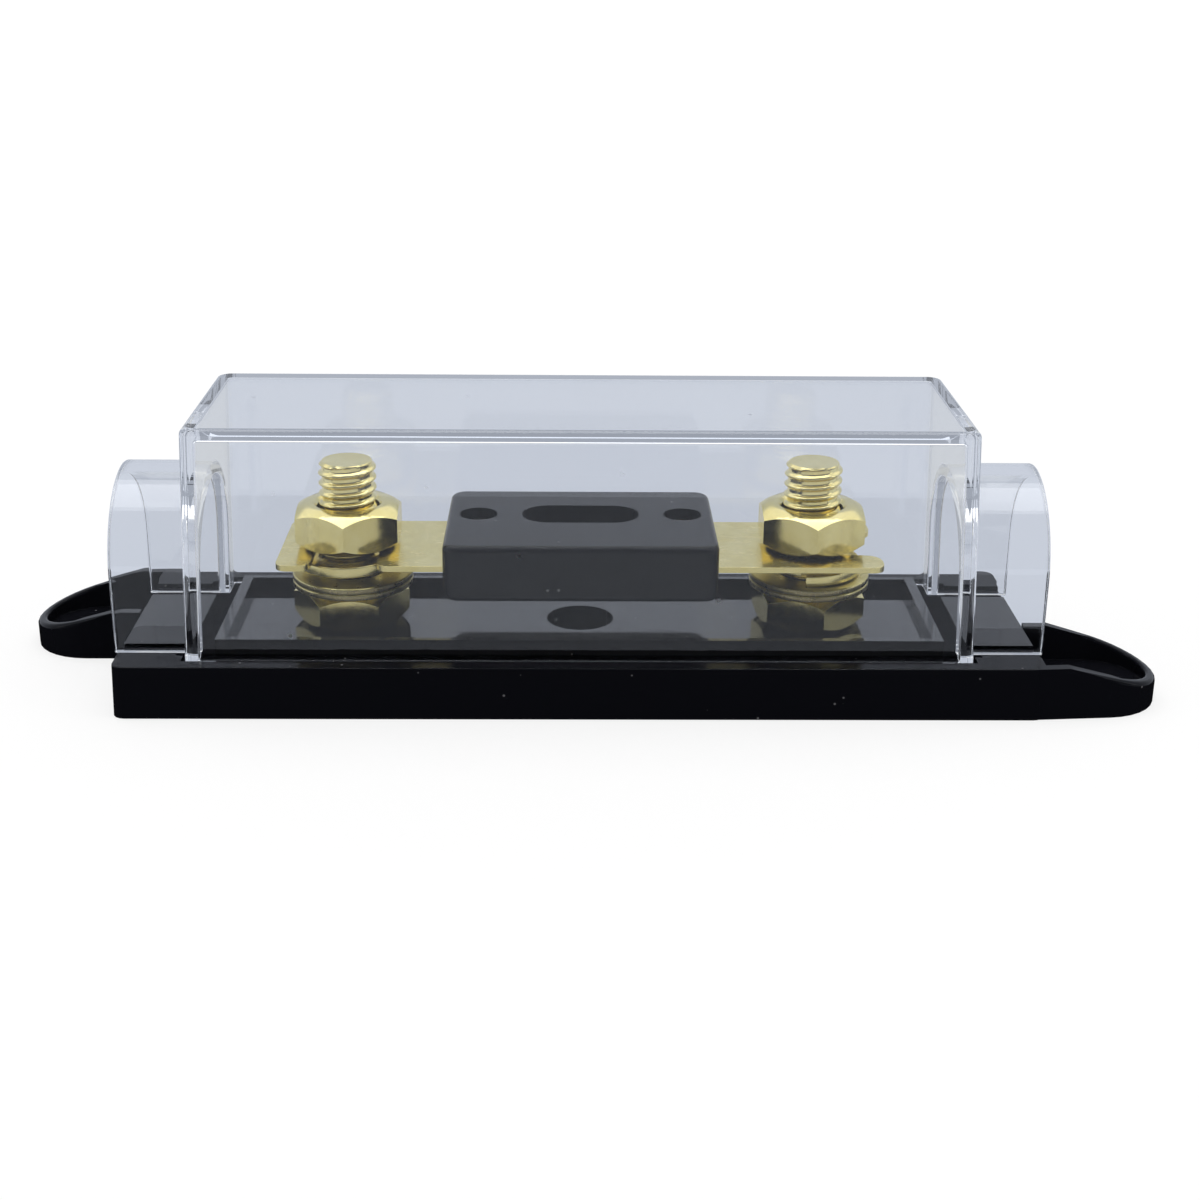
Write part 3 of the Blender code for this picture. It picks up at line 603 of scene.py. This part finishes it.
# Copies of one black that mirror by different amounts: the outer, pad and ledge-top copies mirror less, which
# paints shade on those faces, and the edge copy mirrors more than the outer walls, which paints highlight
# lines.
MIRROR_AND_ROUGHNESS = {
    "glossy_black": (1.0, 0.035, 0.075),
    "shaded_outer_black": (0.1, 0.08, 0.16),
    "shaded_pad_black": (0.42, 0.06, 0.12),
    "highlight_edge_black": (0.6, 0.08, 0.14),
    "shaded_seat_black": (0.0, 0.20, 0.30),
}
GLOSSY, OUTER, PADS, EDGES, SEAT = range(len(MIRROR_AND_ROUGHNESS))


def moulded_black(name, mirror, smoothest, roughest):
    """Black moulding between two roughness values, with dust, hairlines and a faint waviness."""
    finish, tree, shader, place = new_finish(name)
    dust = dust_mask(tree, place, DUST_CELLS, DUST_SHARE)
    gloss = ramp(tree, noise(tree, place, 120.0, 3.0), (0.3, smoothest), (0.75, roughest))
    hairlines = scratch_mask(tree, place, BLACK_SCRATCHES, 0.06)
    looks = {
        "Specular IOR Level": mirror,
        "Base Color": blend(tree, dust, BLACK, DUST_GREY),
        "Roughness": calc(tree, "ADD", gloss, hairlines),
        "Normal": dents(tree, noise(tree, place, 90.0, 1.0), 0.03, 0.0005),
    }
    fill(tree, shader, looks)
    return finish


blacks = [moulded_black(name, *values) for name, values in MIRROR_AND_ROUGHNESS.items()]
print("blacks:", [finish.name for finish in blacks])

# %% [markdown]
# ## The base
#
# The base is one moulding: ledge, end blocks, pads, a rimmed platform and two fixing ears. Its form is
# already right in the solid, down to the ribs underneath. What a solid lacks is the small round on every
# edge, and that round catches the light as the fine bright lines along the real rims; on the outer walls the
# round also mirrors more than the faces beside it, which is painted highlight. So the solid's mesh is copied,
# cleaned to plain faces and its edges are broken.

# %% Sort the base's faces
PLATFORM_X = 0.0486
PLATFORM_Y = 0.0126
PLATFORM_FRONT = 0.0121
SEAT_Z = 0.0065
SEAT_PLAY = 0.0001
PADS_Y = 0.0095
SHELTERED_Z = 0.0060
EARS_FROM = 0.0655
EAR_RIM_Z = 0.0022


def black_for(mesh, face):
    """Which of the blacks a face gets, from its height and from how far it reaches along X and Y."""
    corners = [mesh.vertices[index].co for index in face.vertices]
    reach_x = max(abs(corner.x) for corner in corners)
    reach_y = max(abs(corner.y) for corner in corners)
    if face.center.z < SHELTERED_Z:
        return OUTER
    if reach_x < PLATFORM_X and reach_y < PLATFORM_Y and abs(face.center.y) < PLATFORM_FRONT:
        return GLOSSY
    if reach_y < PADS_Y:
        return PADS
    if face.normal.z > LEVEL and abs(face.center.z - SEAT_Z) < SEAT_PLAY:
        return SEAT
    return OUTER


def mark_ear_rims(mesh):
    """Gives full bevel weight to the upper edges of the ears' rims, and returns how many there are."""
    form = bmesh.new()
    form.from_mesh(mesh)
    weight = form.edges.layers.float.new("bevel_weight_edge")
    marked = 0
    for edge in form.edges:
        tops = [f for f in edge.link_faces if f.normal.z > LEVEL and f.calc_center_median().z > EAR_RIM_Z]
        if len(tops) == 1 and all(abs(vert.co.x) > EARS_FROM for vert in edge.verts):
            edge[weight] = 1.0
            marked += 1
    form.to_mesh(mesh)
    form.free()
    return marked


base_mesh = cleaned(frame["nodes"]["base"].data.copy())
print("ear rims:", mark_ear_rims(base_mesh), "edges to round")

# %% Dress the base
MOULD_EDGE = 0.00020
EAR_ROUND = 0.0005

base = add_piece("base_moulding", base_mesh, blacks[GLOSSY], "base", "black_plastic", "base")
for finish in blacks[GLOSSY + 1:]:
    base_mesh.materials.append(finish)
for face in base_mesh.polygons:
    face.material_index = black_for(base_mesh, face)
rims = base.modifiers.new("Round the ears' rims", "BEVEL")
rims.limit_method = "WEIGHT"
rims.width = EAR_ROUND
rims.segments = 5
# The rounded edges take the edge black, which mirrors more than the outer walls: painted highlight lines.
break_edges(base, MOULD_EDGE, 3, finish_index=EDGES)
print("base moulding:", len(base_mesh.polygons), "faces before its edges are broken")

# %% [markdown]
# ## Finish: pale gold brass
#
# Studs, nuts and washers are brass with a bright pale plating. Metal has almost no colour of its own in the
# shader's diffuse sense: its base colour tints what it mirrors. The parts were barrel plated, so the surface
# is a little rough, cloudy in patches and scratched in all directions.

# %% Make the brass
BRASS_PALE = (0.87, 0.77, 0.38)
BRASS_DEEP = (0.82, 0.71, 0.31)
WASHER_PALE = (0.76, 0.69, 0.33)
WASHER_DEEP = (0.56, 0.49, 0.21)
# The washers' rim brass is darker: painted shade on the faces that look sideways.
SHADED_RIM_PALE = (0.40, 0.35, 0.20)
SHADED_RIM_DEEP = (0.26, 0.22, 0.12)
BRASS_SCRATCHES = (300.0, 2200.0, 900.0)


def brass(name, smoothest, roughest, pale=BRASS_PALE, deep=BRASS_DEEP, clouds=(260.0, 0.35, 0.62)):
    """A plated brass between two roughness values, with cloudy tint, grain and hairlines."""
    finish, tree, shader, place = new_finish(name)
    cloud_scale, deep_to, pale_from = clouds
    grain = noise(tree, place, 900.0, 5.0)
    rough = ramp(tree, grain, (0.3, smoothest), (0.7, roughest))
    hairlines = scratch_mask(tree, place, BRASS_SCRATCHES, 0.05)
    looks = {
        "Metallic": 1.0,
        "Base Color": ramp(tree, noise(tree, place, cloud_scale, 4.0), (deep_to, deep), (pale_from, pale)),
        "Roughness": calc(tree, "ADD", rough, hairlines),
        "Normal": dents(tree, grain, 0.05, 0.0001),
    }
    fill(tree, shader, looks)
    return finish


bright_brass = brass("bright_brass", 0.10, 0.18)
satin_brass = brass("satin_brass", 0.20, 0.27)
washer_brass = brass("washer_brass", 0.26, 0.36, WASHER_PALE, WASHER_DEEP)
shaded_rim_brass = brass("shaded_rim_brass", 0.24, 0.34, SHADED_RIM_PALE, SHADED_RIM_DEEP)
print("brass from", BRASS_DEEP, "to", BRASS_PALE)

# %% [markdown]
# ## The studs
#
# Each stud is a 5/16 in bolt pushed up through the base. Its thread is rolled, not cut, so crests and roots
# are rounded. A thread can be made by sweeping a profile along a helix, but the sweep's ends are awkward.
# Here the stud is a pile of flat rings instead, and each point's radius comes from where it stands on the
# helix. The ends then stay flat, and the chamfer at the tip simply limits the radius.

# %% Helpers for the studs
STUD_RADIUS = 0.0039
THREAD_PITCH = 0.00141
THREAD_DEPTH = 0.00046
THREAD_START = 0.0115
CREST_SHARE = 0.08
ROOT_SHARE = 0.34
STUD_CHAMFER = 0.0006
ROUND_STEPS = 96
RINGS_PER_TURN = 16
HEAD_HEIGHT = 0.005
STUD_HEAD_FLATS = 0.013


def stud_centre(side, height=0.0):
    """The middle of a stud, at one height."""
    low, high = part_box(side + "_stud")
    return Vector(((low.x + high.x) / 2, (low.y + high.y) / 2, height))


def thread_radius(angle, height, top):
    """The stud's radius at one angle and height: a rounded ridge that climbs one pitch a turn."""
    turns = (height / THREAD_PITCH - angle / (2 * math.pi)) % 1.0
    ridge = 1 - abs(2 * turns - 1)
    level = min(max((ridge - ROOT_SHARE) / (1 - ROOT_SHARE - CREST_SHARE), 0.0), 1.0)
    rounded = level * level * (3 - 2 * level)
    threaded = STUD_RADIUS - THREAD_DEPTH * (1 - (rounded + level) / 2)
    return min(threaded, STUD_RADIUS - STUD_CHAMFER + (top - height))


def stud_mesh(name, low_z, top):
    """A plain shank below, a rolled thread above, and a hexagon head in the base's pocket."""
    angles = [2 * math.pi * step / ROUND_STEPS for step in range(ROUND_STEPS)]
    plain = [(STUD_RADIUS * math.cos(a), STUD_RADIUS * math.sin(a)) for a in angles]
    plain_levels = (low_z + HEAD_HEIGHT / 2, THREAD_START - THREAD_PITCH / RINGS_PER_TURN)
    rings = [[(x, y, height) for x, y in plain] for height in plain_levels]
    count = round((top - THREAD_START) / THREAD_PITCH * RINGS_PER_TURN)
    for step in range(count + 1):
        height = THREAD_START + (top - THREAD_START) * step / count
        radii = [thread_radius(a, height, top) for a in angles]
        rings.append([(r * math.cos(a), r * math.sin(a), height) for r, a in zip(radii, angles)])
    corner = STUD_HEAD_FLATS / 2 / math.cos(math.pi / 6)
    head = raised("head", hexagon(corner, 30), low_z, low_z + HEAD_HEIGHT)
    return carved(stacked_rings(name, rings), "UNION", head)


print("threads:", round(1000 * THREAD_PITCH, 2), "mm from crest to crest")

# %% Thread the studs
TINY = 1e-6
SHARP_FROM = math.radians(50)

for side in ("left", "right"):
    low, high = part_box(side + "_stud")
    mesh = stud_mesh(side + "_threaded_stud", low.z, high.z)
    mesh.transform(Matrix.Translation(stud_centre(side)))
    stud = add_piece(mesh.name, mesh, bright_brass, "base", "gold_brass", side + "_stud")
    mesh.set_sharp_from_angle(angle=SHARP_FROM)
    for edge in mesh.edges:
        if all(mesh.vertices[index].co.z > high.z - TINY for index in edge.vertices):
            edge.use_edge_sharp = True
    print(stud.name, "has", len(mesh.polygons), "faces")

# %% [markdown]
# ## The nuts
#
# A nut is a hexagon whose corners have been turned off to a low dome at both ends. Where the dome meets the
# six flats it leaves the curved scallops that make a nut look like a nut. So the shape is made that way: a
# hexagon, cut down to what it shares with a double dome, then bored. It is cut half a facet out of line with
# the dome, so that no two corners meet, and only then turned the way its solid is turned.

# %% Helpers for the nuts
NUT_CROWN_SHARE = 0.86
NUT_DROP_AT_FLATS = 0.00050
NUT_DROP_AT_CORNERS = 0.00135
BORE_GAP = 0.0003
BORE_CHAMFER = 0.00045
OUTSIDE = 0.001


def corner_angle(node, centre):
    """The direction of the solid's outermost corner, seen from above, and how far out it is."""
    points = [vertex.co - centre for vertex in frame["nodes"][node].data.vertices]
    farthest = max(points, key=lambda point: point.xy.length)
    return math.atan2(farthest.y, farthest.x), farthest.xy.length


def nut_mesh(name, corner, turn, height):
    """A hexagon, cut to a double dome and bored, with one corner in a given direction."""
    flats = corner * math.cos(math.pi / 6)
    slope = (NUT_DROP_AT_CORNERS - NUT_DROP_AT_FLATS) / (corner - flats)
    fall = NUT_DROP_AT_CORNERS + OUTSIDE * slope
    dome = [(0, 0), (flats * NUT_CROWN_SHARE, 0), (flats, NUT_DROP_AT_FLATS), (corner + OUTSIDE, fall)]
    domes = [(radius, height - drop) for radius, drop in dome] + dome[::-1]
    bore = STUD_RADIUS + BORE_GAP
    mouth = bore + BORE_CHAMFER + OUTSIDE
    hole = [
        (0, height + OUTSIDE),
        (mouth, height + OUTSIDE),
        (bore, height - BORE_CHAMFER),
        (bore, BORE_CHAMFER),
        (mouth, -OUTSIDE),
        (0, -OUTSIDE),
    ]
    half_step = 180 / ROUND_STEPS
    nut = raised(name, hexagon(corner, half_step), 0, height)
    nut = carved(nut, "INTERSECT", turned("domes", domes, ROUND_STEPS))
    nut = carved(nut, "DIFFERENCE", turned("hole", hole, ROUND_STEPS))
    nut.transform(Matrix.Rotation(turn - math.radians(half_step), 4, "Z"))
    return nut


print("nut helpers ready")

# %% Cut the nuts
NUT_EDGE = 0.00015

for side in ("left", "right"):
    for level, body in (("lower", "base"), ("top", side + "_top_nut")):
        node = f"{side}_{level}_nut"
        low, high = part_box(node)
        centre = stud_centre(side, low.z)
        turn, corner = corner_angle(node, centre)
        mesh = nut_mesh(node + "_fine", corner, turn, high.z - low.z)
        mesh.transform(Matrix.Translation(centre))
        nut = add_piece(mesh.name, mesh, bright_brass, body, "gold_brass", node)
        break_edges(nut, NUT_EDGE)
        direction = round(math.degrees(turn) % 60, 1)
        print(nut.name, "turned by", direction, "degrees,", len(mesh.polygons), "faces")

# %% [markdown]
# ## The washers
#
# Two plain washers lie under each spring washer. They are stamped from sheet, and the stamp rolls their upper
# edge over a little. Turning one profile gives that round edge all the way about. The rim, whose faces look
# sideways, is given a darker brass: painted shade.

# %% Turn the plain washers
WASHER_ROLL = 0.00022
WASHER_BORE = 0.0044
WASHER_SHARP_FROM = math.radians(35)
SIDEWAYS = 0.2

for side in ("left", "right"):
    for level in ("lower", "upper"):
        node = f"{side}_{level}_washer"
        low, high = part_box(node)
        outer = (high.x - low.x) / 2
        thick = high.z - low.z
        rim = arc((outer - WASHER_ROLL, thick - WASHER_ROLL), WASHER_ROLL, 90, 0, 5)
        foot = arc((outer - WASHER_ROLL / 2, WASHER_ROLL / 2), WASHER_ROLL / 2, 0, -90, 3)
        profile = [(WASHER_BORE, thick)] + rim + foot + [(WASHER_BORE, 0)]
        mesh = turned(node + "_fine", profile, 2 * ROUND_STEPS)
        mesh.transform(Matrix.Translation(((low.x + high.x) / 2, (low.y + high.y) / 2, low.z)))
        add_piece(mesh.name, mesh, washer_brass, "base", "gold_brass", node)
        # Faces that look sideways get the darker brass, which paints shade on the rim.
        mesh.materials.append(shaded_rim_brass)
        for face in mesh.polygons:
            face.material_index = 1 if abs(face.normal.z) < SIDEWAYS else 0
        mesh.set_sharp_from_angle(angle=WASHER_SHARP_FROM)
        print(mesh.name, "is", round(2000 * outer, 2), "mm across")

# %% [markdown]
# ## The spring washers
#
# A spring washer is a ring of square wire, cut through once and twisted so that one end stands above the
# other. Spinning a small section about the stud, with a small rise at each step, gives exactly that.

# %% Wind the spring washers
SPRING_BORE = 0.0043
SPRING_OUTSIDE = 0.0069
SPRING_THICKNESS = 0.0015
SPRING_CORNER = 0.00018
SPRING_GAP = math.radians(6)


def spring_mesh(name, rise):
    """A ring of square wire that starts on the X axis and rises by so much to its other end."""
    section = rounded_rectangle((SPRING_BORE, 0), (SPRING_OUTSIDE, SPRING_THICKNESS), SPRING_CORNER, 3)
    form = bmesh.new()
    verts = [form.verts.new((x, 0, z)) for x, z in section]
    face = form.faces.new(verts)
    bmesh.ops.spin(
        form,
        geom=[face] + list(face.edges) + verts,
        cent=(0, 0, 0),
        axis=(0, 0, 1),
        dvec=(0, 0, rise / ROUND_STEPS),
        angle=2 * math.pi - SPRING_GAP,
        steps=ROUND_STEPS,
        use_duplicate=False,
    )
    return mesh_of(name, form)


for side in ("left", "right"):
    node = side + "_spring_washer"
    low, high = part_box(node)
    centre = stud_centre(side, low.z)
    lowest = [v.co - centre for v in frame["nodes"][node].data.vertices if v.co.z < low.z + TINY]
    end = max(lowest, key=lambda point: point.xy.length)
    start = math.atan2(end.y, end.x)
    mesh = spring_mesh(node + "_fine", high.z - low.z - SPRING_THICKNESS)
    mesh.transform(Matrix.Translation(centre) @ Matrix.Rotation(start, 4, "Z"))
    spring = add_piece(mesh.name, mesh, satin_brass, "base", "gold_brass", node)
    mesh.set_sharp_from_angle(angle=SHARP_FROM)
    print(spring.name, "starts at", round(math.degrees(start), 1), "degrees")

# %% [markdown]
# ## The fuse's strip
#
# Both blades and the thin link between them are stamped from one brass sheet. The stamp leaves the upper
# edges slightly round. The solid's outline is right, so it is copied and only its edges are broken.

# %% Dress the strip
STRIP_EDGE = 0.00010

strip_mesh = cleaned(frame["nodes"]["fuse_strip"].data.copy())
strip = add_piece("fuse_blades", strip_mesh, satin_brass, "base", "gold_brass", "fuse_strip")
break_edges(strip, STRIP_EDGE)
print("strip:", len(strip_mesh.polygons), "faces before its edges are broken")

# %% [markdown]
# ## Finish: dark grey satin moulding
#
# The fuse's body is moulded from a heat-proof plastic, filled with glass, so it can't take a polish. It is a
# dark grey with a broad soft sheen, fine specks, and a slightly cloudy surface.

# %% Make the satin grey
GREY_DARK = (0.012, 0.013, 0.018)
GREY_PALE = (0.018, 0.019, 0.026)
GREY_MIRROR = 0.22
GREY_ROUGHNESS = (0.19, 0.25)

satin_grey, tree, shader, place = new_finish("satin_grey")
cloud = noise(tree, place, 180.0, 3.0)
grey = ramp(tree, cloud, (0.35, GREY_DARK), (0.7, GREY_PALE))
dust = dust_mask(tree, place, 700.0, 0.05)
looks = {
    "Specular IOR Level": GREY_MIRROR,
    "Base Color": blend(tree, dust, grey, DUST_GREY),
    "Roughness": ramp(tree, cloud, (0.3, GREY_ROUGHNESS[0]), (0.7, GREY_ROUGHNESS[1])),
    "Normal": dents(tree, noise(tree, place, 1400.0, 2.0), 0.04, 0.00005),
}
fill(tree, shader, looks)
print("satin grey:", GREY_DARK, "to", GREY_PALE)

# %% [markdown]
# ## The fuse's body
#
# Two moulded halves are riveted round the strip so tightly that no joint line shows. They are made here as
# one block: a rounded slab, skinned from rings, with the bed for the strip, the window and the rivets' holes
# cut out of it.

# %% Skin the fuse body's block
BODY_CORNER = 0.0020
BODY_ROUND = 0.0009
BODY_CORNER_STEPS = 8
RIM_STEPS = 6
INSET_SHARE = 0.8

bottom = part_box("fuse_body_lower")[0].z
body_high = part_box("fuse_body_upper")[1]
bends = [math.radians(90 * step / RIM_STEPS) for step in range(RIM_STEPS + 1)]
rim = [(BODY_ROUND * (1 - math.cos(a)), BODY_ROUND * (1 - math.sin(a))) for a in bends]
levels = [(bottom + lift, inset) for lift, inset in rim]
levels += [(body_high.z - lift, inset) for lift, inset in reversed(rim)]
rings = []
for height, inset in levels:
    corner = BODY_CORNER - INSET_SHARE * inset
    rings.append(level_loop(body_high.x - inset, body_high.y - inset, corner, height, BODY_CORNER_STEPS))
block = stacked_rings("fuse_body", rings)
print("fuse body's block:", len(block.polygons), "faces")

# %% Cut the bed, the window and the rivets' holes
WINDOW_LENGTH = 0.0160
WINDOW_WIDTH = 0.0074
WINDOW_STEPS = 24
BED_GAP = 0.0003
BED_REACH = 1
STRIP_PLAY = 0.00005
CHAMBER = (0.0200, 0.0124, 0.0032)
RIVET_HOLE = 0.0026
RIVET_BORE = 0.0019
RIVET_FLANGE = 0.0004
HOLE_STEPS = 48
BORE_STEPS = 32
BODY_EDGE = 0.00012
MOULD_ANGLE = 40

strip_low, strip_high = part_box("fuse_strip")
eyelet_low, eyelet_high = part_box("right_eyelet")
spread, hole_line = (eyelet_low.x + eyelet_high.x) / 2, (eyelet_low.y + eyelet_high.y) / 2
middle_z = (strip_low.z + strip_high.z) / 2
above, below = body_high.z + OUTSIDE, bottom - OUTSIDE
bed_low = (-BED_REACH, strip_low.y - BED_GAP, strip_low.z - STRIP_PLAY)
bed_high = (BED_REACH, strip_high.y + BED_GAP, strip_high.z + STRIP_PLAY)
reach = (WINDOW_LENGTH - WINDOW_WIDTH) / 2
opening = arc((reach, hole_line), WINDOW_WIDTH / 2, -90, 90, WINDOW_STEPS)
opening += arc((-reach, hole_line), WINDOW_WIDTH / 2, 90, 270, WINDOW_STEPS)
chamber_low = (-CHAMBER[0] / 2, hole_line - CHAMBER[1] / 2, middle_z - CHAMBER[2] / 2)
chamber_high = (CHAMBER[0] / 2, hole_line + CHAMBER[1] / 2, middle_z + CHAMBER[2] / 2)
cutters = [
    box("bed", bed_low, bed_high),
    raised("window", opening, middle_z, above),
    box("chamber", chamber_low, chamber_high),
]
for x in (-spread, spread):
    sink = circle((x, hole_line), RIVET_HOLE, HOLE_STEPS)
    cutters.append(raised("sink", sink, eyelet_high.z - RIVET_FLANGE, above))
    cutters.append(raised("sink", sink, below, eyelet_low.z + RIVET_FLANGE))
    cutters.append(raised("through", circle((x, hole_line), RIVET_BORE, BORE_STEPS), below, above))
block = carved(block, "DIFFERENCE", *cutters)
fuse_body = add_piece(
    "fuse_body", block, satin_grey, "base", "grey_plastic", "fuse_body_lower", "fuse_body_upper"
)
break_edges(fuse_body, BODY_EDGE, 2, MOULD_ANGLE)
print("fuse body:", len(block.polygons), "faces")

# %% [markdown]
# ## The fuse's window and rivets
#
# A thin clear pane covers the link, and two hollow rivets hold the body together. Both sit deep in their
# holes. The rivets' brass is painted near black, which is painted shade from their holes, and the pane has a
# dark smoky tint. They keep their solids' form and get finishes of their own.

# %% Make the darkened rivets and the pane
# The rivets' near-black brass is painted shade, standing for the shade deep in their holes.
RIVET_SHADE = (0.16, 0.12, 0.07)
PANE_TINT = (0.30, 0.31, 0.34)
PANE_INDEX = 1.5

shaded_rivet = brass("shaded_rivet", 0.3, 0.45, RIVET_SHADE, dimmed(RIVET_SHADE, 0.5), (900.0, 0.3, 0.7))
pane, tree, shader, place = new_finish("smoky_pane")
film = noise(tree, place, 500.0, 3.0)
looks = {
    "Transmission Weight": 1.0,
    "IOR": PANE_INDEX,
    "Base Color": ramp(tree, film, (0.3, dimmed(PANE_TINT, 0.8)), (0.7, PANE_TINT)),
    "Roughness": ramp(tree, film, (0.3, 0.05), (0.7, 0.12)),
}
fill(tree, shader, looks)
for node, finish in (("left_eyelet", shaded_rivet), ("right_eyelet", shaded_rivet), ("fuse_window", pane)):
    mesh = frame["nodes"][node].data
    mesh.materials.clear()
    mesh.materials.append(finish)
    print(node, "gets", finish.name)

# %% [markdown]
# ## Finish: clear polycarbonate
#
# The cover is clear polycarbonate, which bends light more than window glass does (index 1.585) and has a
# faint blue tint. The tint of a Principled glass is taken once for each wall. A few dust specks and a slight
# waviness from the mould keep it from looking like empty air. Light that is caught inside a wall runs on in
# it for dozens of reflections, and the renderer gives up before it finds its way out, which would leave the
# edges black. So a ray is shown a pale glow once, at its fourth reflection, as if part of it had got out
# there.

# %% Make the clear plastic
CLEAR_TINT = (0.985, 0.99, 1.0)
CLEAR_INDEX = 1.585
GUIDED_BOUNCE = 4
GUIDED_LIGHT = (0.34, 0.37, 0.43)

clear, tree, shader, place = new_finish("clear_polycarbonate")
flow = noise(tree, place, 30.0, 2.0)
specks = dust_mask(tree, place, 500.0, 0.01)
trapped = calc(tree, "COMPARE", ray_facts(tree)["Glossy Depth"], GUIDED_BOUNCE, 0.5)
inside = add_node(tree, "ShaderNodeNewGeometry").outputs["Backfacing"]
looks = {
    "Transmission Weight": 1.0,
    "IOR": CLEAR_INDEX,
    "Base Color": ramp(tree, flow, (0.3, dimmed(CLEAR_TINT, 0.99)), (0.7, CLEAR_TINT)),
    "Roughness": ramp(tree, specks, (0.0, 0.0), (1.0, 0.5)),
    "Normal": dents(tree, flow, 0.02, 0.0005),
    "Emission Color": (*GUIDED_LIGHT, 1),
    "Emission Strength": calc(tree, "MULTIPLY", trapped, inside),
}
fill(tree, shader, looks)
clear.cycles.emission_sampling = "NONE"
print("clear tint for one wall:", CLEAR_TINT)

# %% [markdown]
# ## The cover
#
# The cover is a thin-walled box that draws in towards its top, with rounded corners, and a half-round tunnel
# over each cable. Refraction shows every facet, so its outside and its inside are skinned from smooth rings,
# and only then joined with the tunnels and hollowed out. The inside corners are much sharper than the
# outside ones, which makes the clear posts at the four corners.

# %% Helpers for the cover
COVER_LENGTH = 0.1040
COVER_DEPTH = 0.0326
DRAW_AT_ENDS = 0.0011
DRAW_AT_SIDES = 0.0013
CORNER_STEPS = 10
TUNNEL_SPRING = 0.0167
TUNNEL_STEPS = 72


def drafted_shell(name, foot, top, wall, corner, round_radius, steps):
    """A closed box that draws in with height and ends in a rounded top. The wall is taken off all round."""
    low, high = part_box("cover")
    bends = [math.radians(90 * step / steps) for step in range(1, steps + 1)]
    levels = [(foot, 0), (top - round_radius, 0)]
    levels += [(top - round_radius * (1 - math.sin(a)), round_radius * (1 - math.cos(a))) for a in bends]
    rings = []
    for height, inset in levels:
        share = (height - low.z) / (high.z - low.z)
        half_x = COVER_LENGTH / 2 - DRAW_AT_ENDS * share - wall - inset
        half_y = COVER_DEPTH / 2 - DRAW_AT_SIDES * share - wall - inset
        rings.append(level_loop(half_x, half_y, corner, height, CORNER_STEPS))
    return stacked_rings(name, rings)


def tunnel_shape(name, radius, foot, reach):
    """A half-round arch on straight legs, laid along X through both ends."""
    over = arc((0, TUNNEL_SPRING), radius, 0, 180, TUNNEL_STEPS)
    arch = raised(name, [(radius, foot)] + over + [(-radius, foot)], -reach, reach)
    arch.transform(Matrix(((0, 0, 1, 0), (1, 0, 0, 0), (0, 1, 0, 0), (0, 0, 0, 1))))
    return arch


print("cover helpers ready")

# %% Mould the cover
COVER_WALL = 0.0017
COVER_CORNER = 0.0014
INNER_CORNER = 0.0005
COVER_TOP_ROUND = 0.0009
CEILING_ROUND = 0.0004
TUNNEL_RADIUS = 0.0124
TUNNEL_WALL = 0.0016
CLEAR_EDGE = 0.00018
CLEAR_FLAT_ANGLE = 0.2

low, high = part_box("cover")
outer_form = drafted_shell("clear_cover", low.z, high.z, 0, COVER_CORNER, COVER_TOP_ROUND, 6)
cavity = drafted_shell(
    "cavity", low.z - OUTSIDE, high.z - COVER_WALL, COVER_WALL, INNER_CORNER, CEILING_ROUND, 8
)
tunnels = tunnel_shape("tunnels", TUNNEL_RADIUS, low.z, high.x)
bore = tunnel_shape("bore", TUNNEL_RADIUS - TUNNEL_WALL, low.z - OUTSIDE, high.x + OUTSIDE)
cover_mesh = carved(carved(outer_form, "UNION", tunnels), "DIFFERENCE", cavity, bore)
cover_mesh = cleaned(cover_mesh, CLEAR_FLAT_ANGLE)
cover = add_piece("clear_cover", cover_mesh, clear, "cover", "clear_plastic", "cover")
break_edges(cover, CLEAR_EDGE, 2, MOULD_ANGLE)
print("cover:", len(cover.data.polygons), "faces before its edges are broken")

# %% [markdown]
# ## The last update
#
# The last line brings the scene up to date.

# %% Update the scene
bpy.context.view_layer.update()
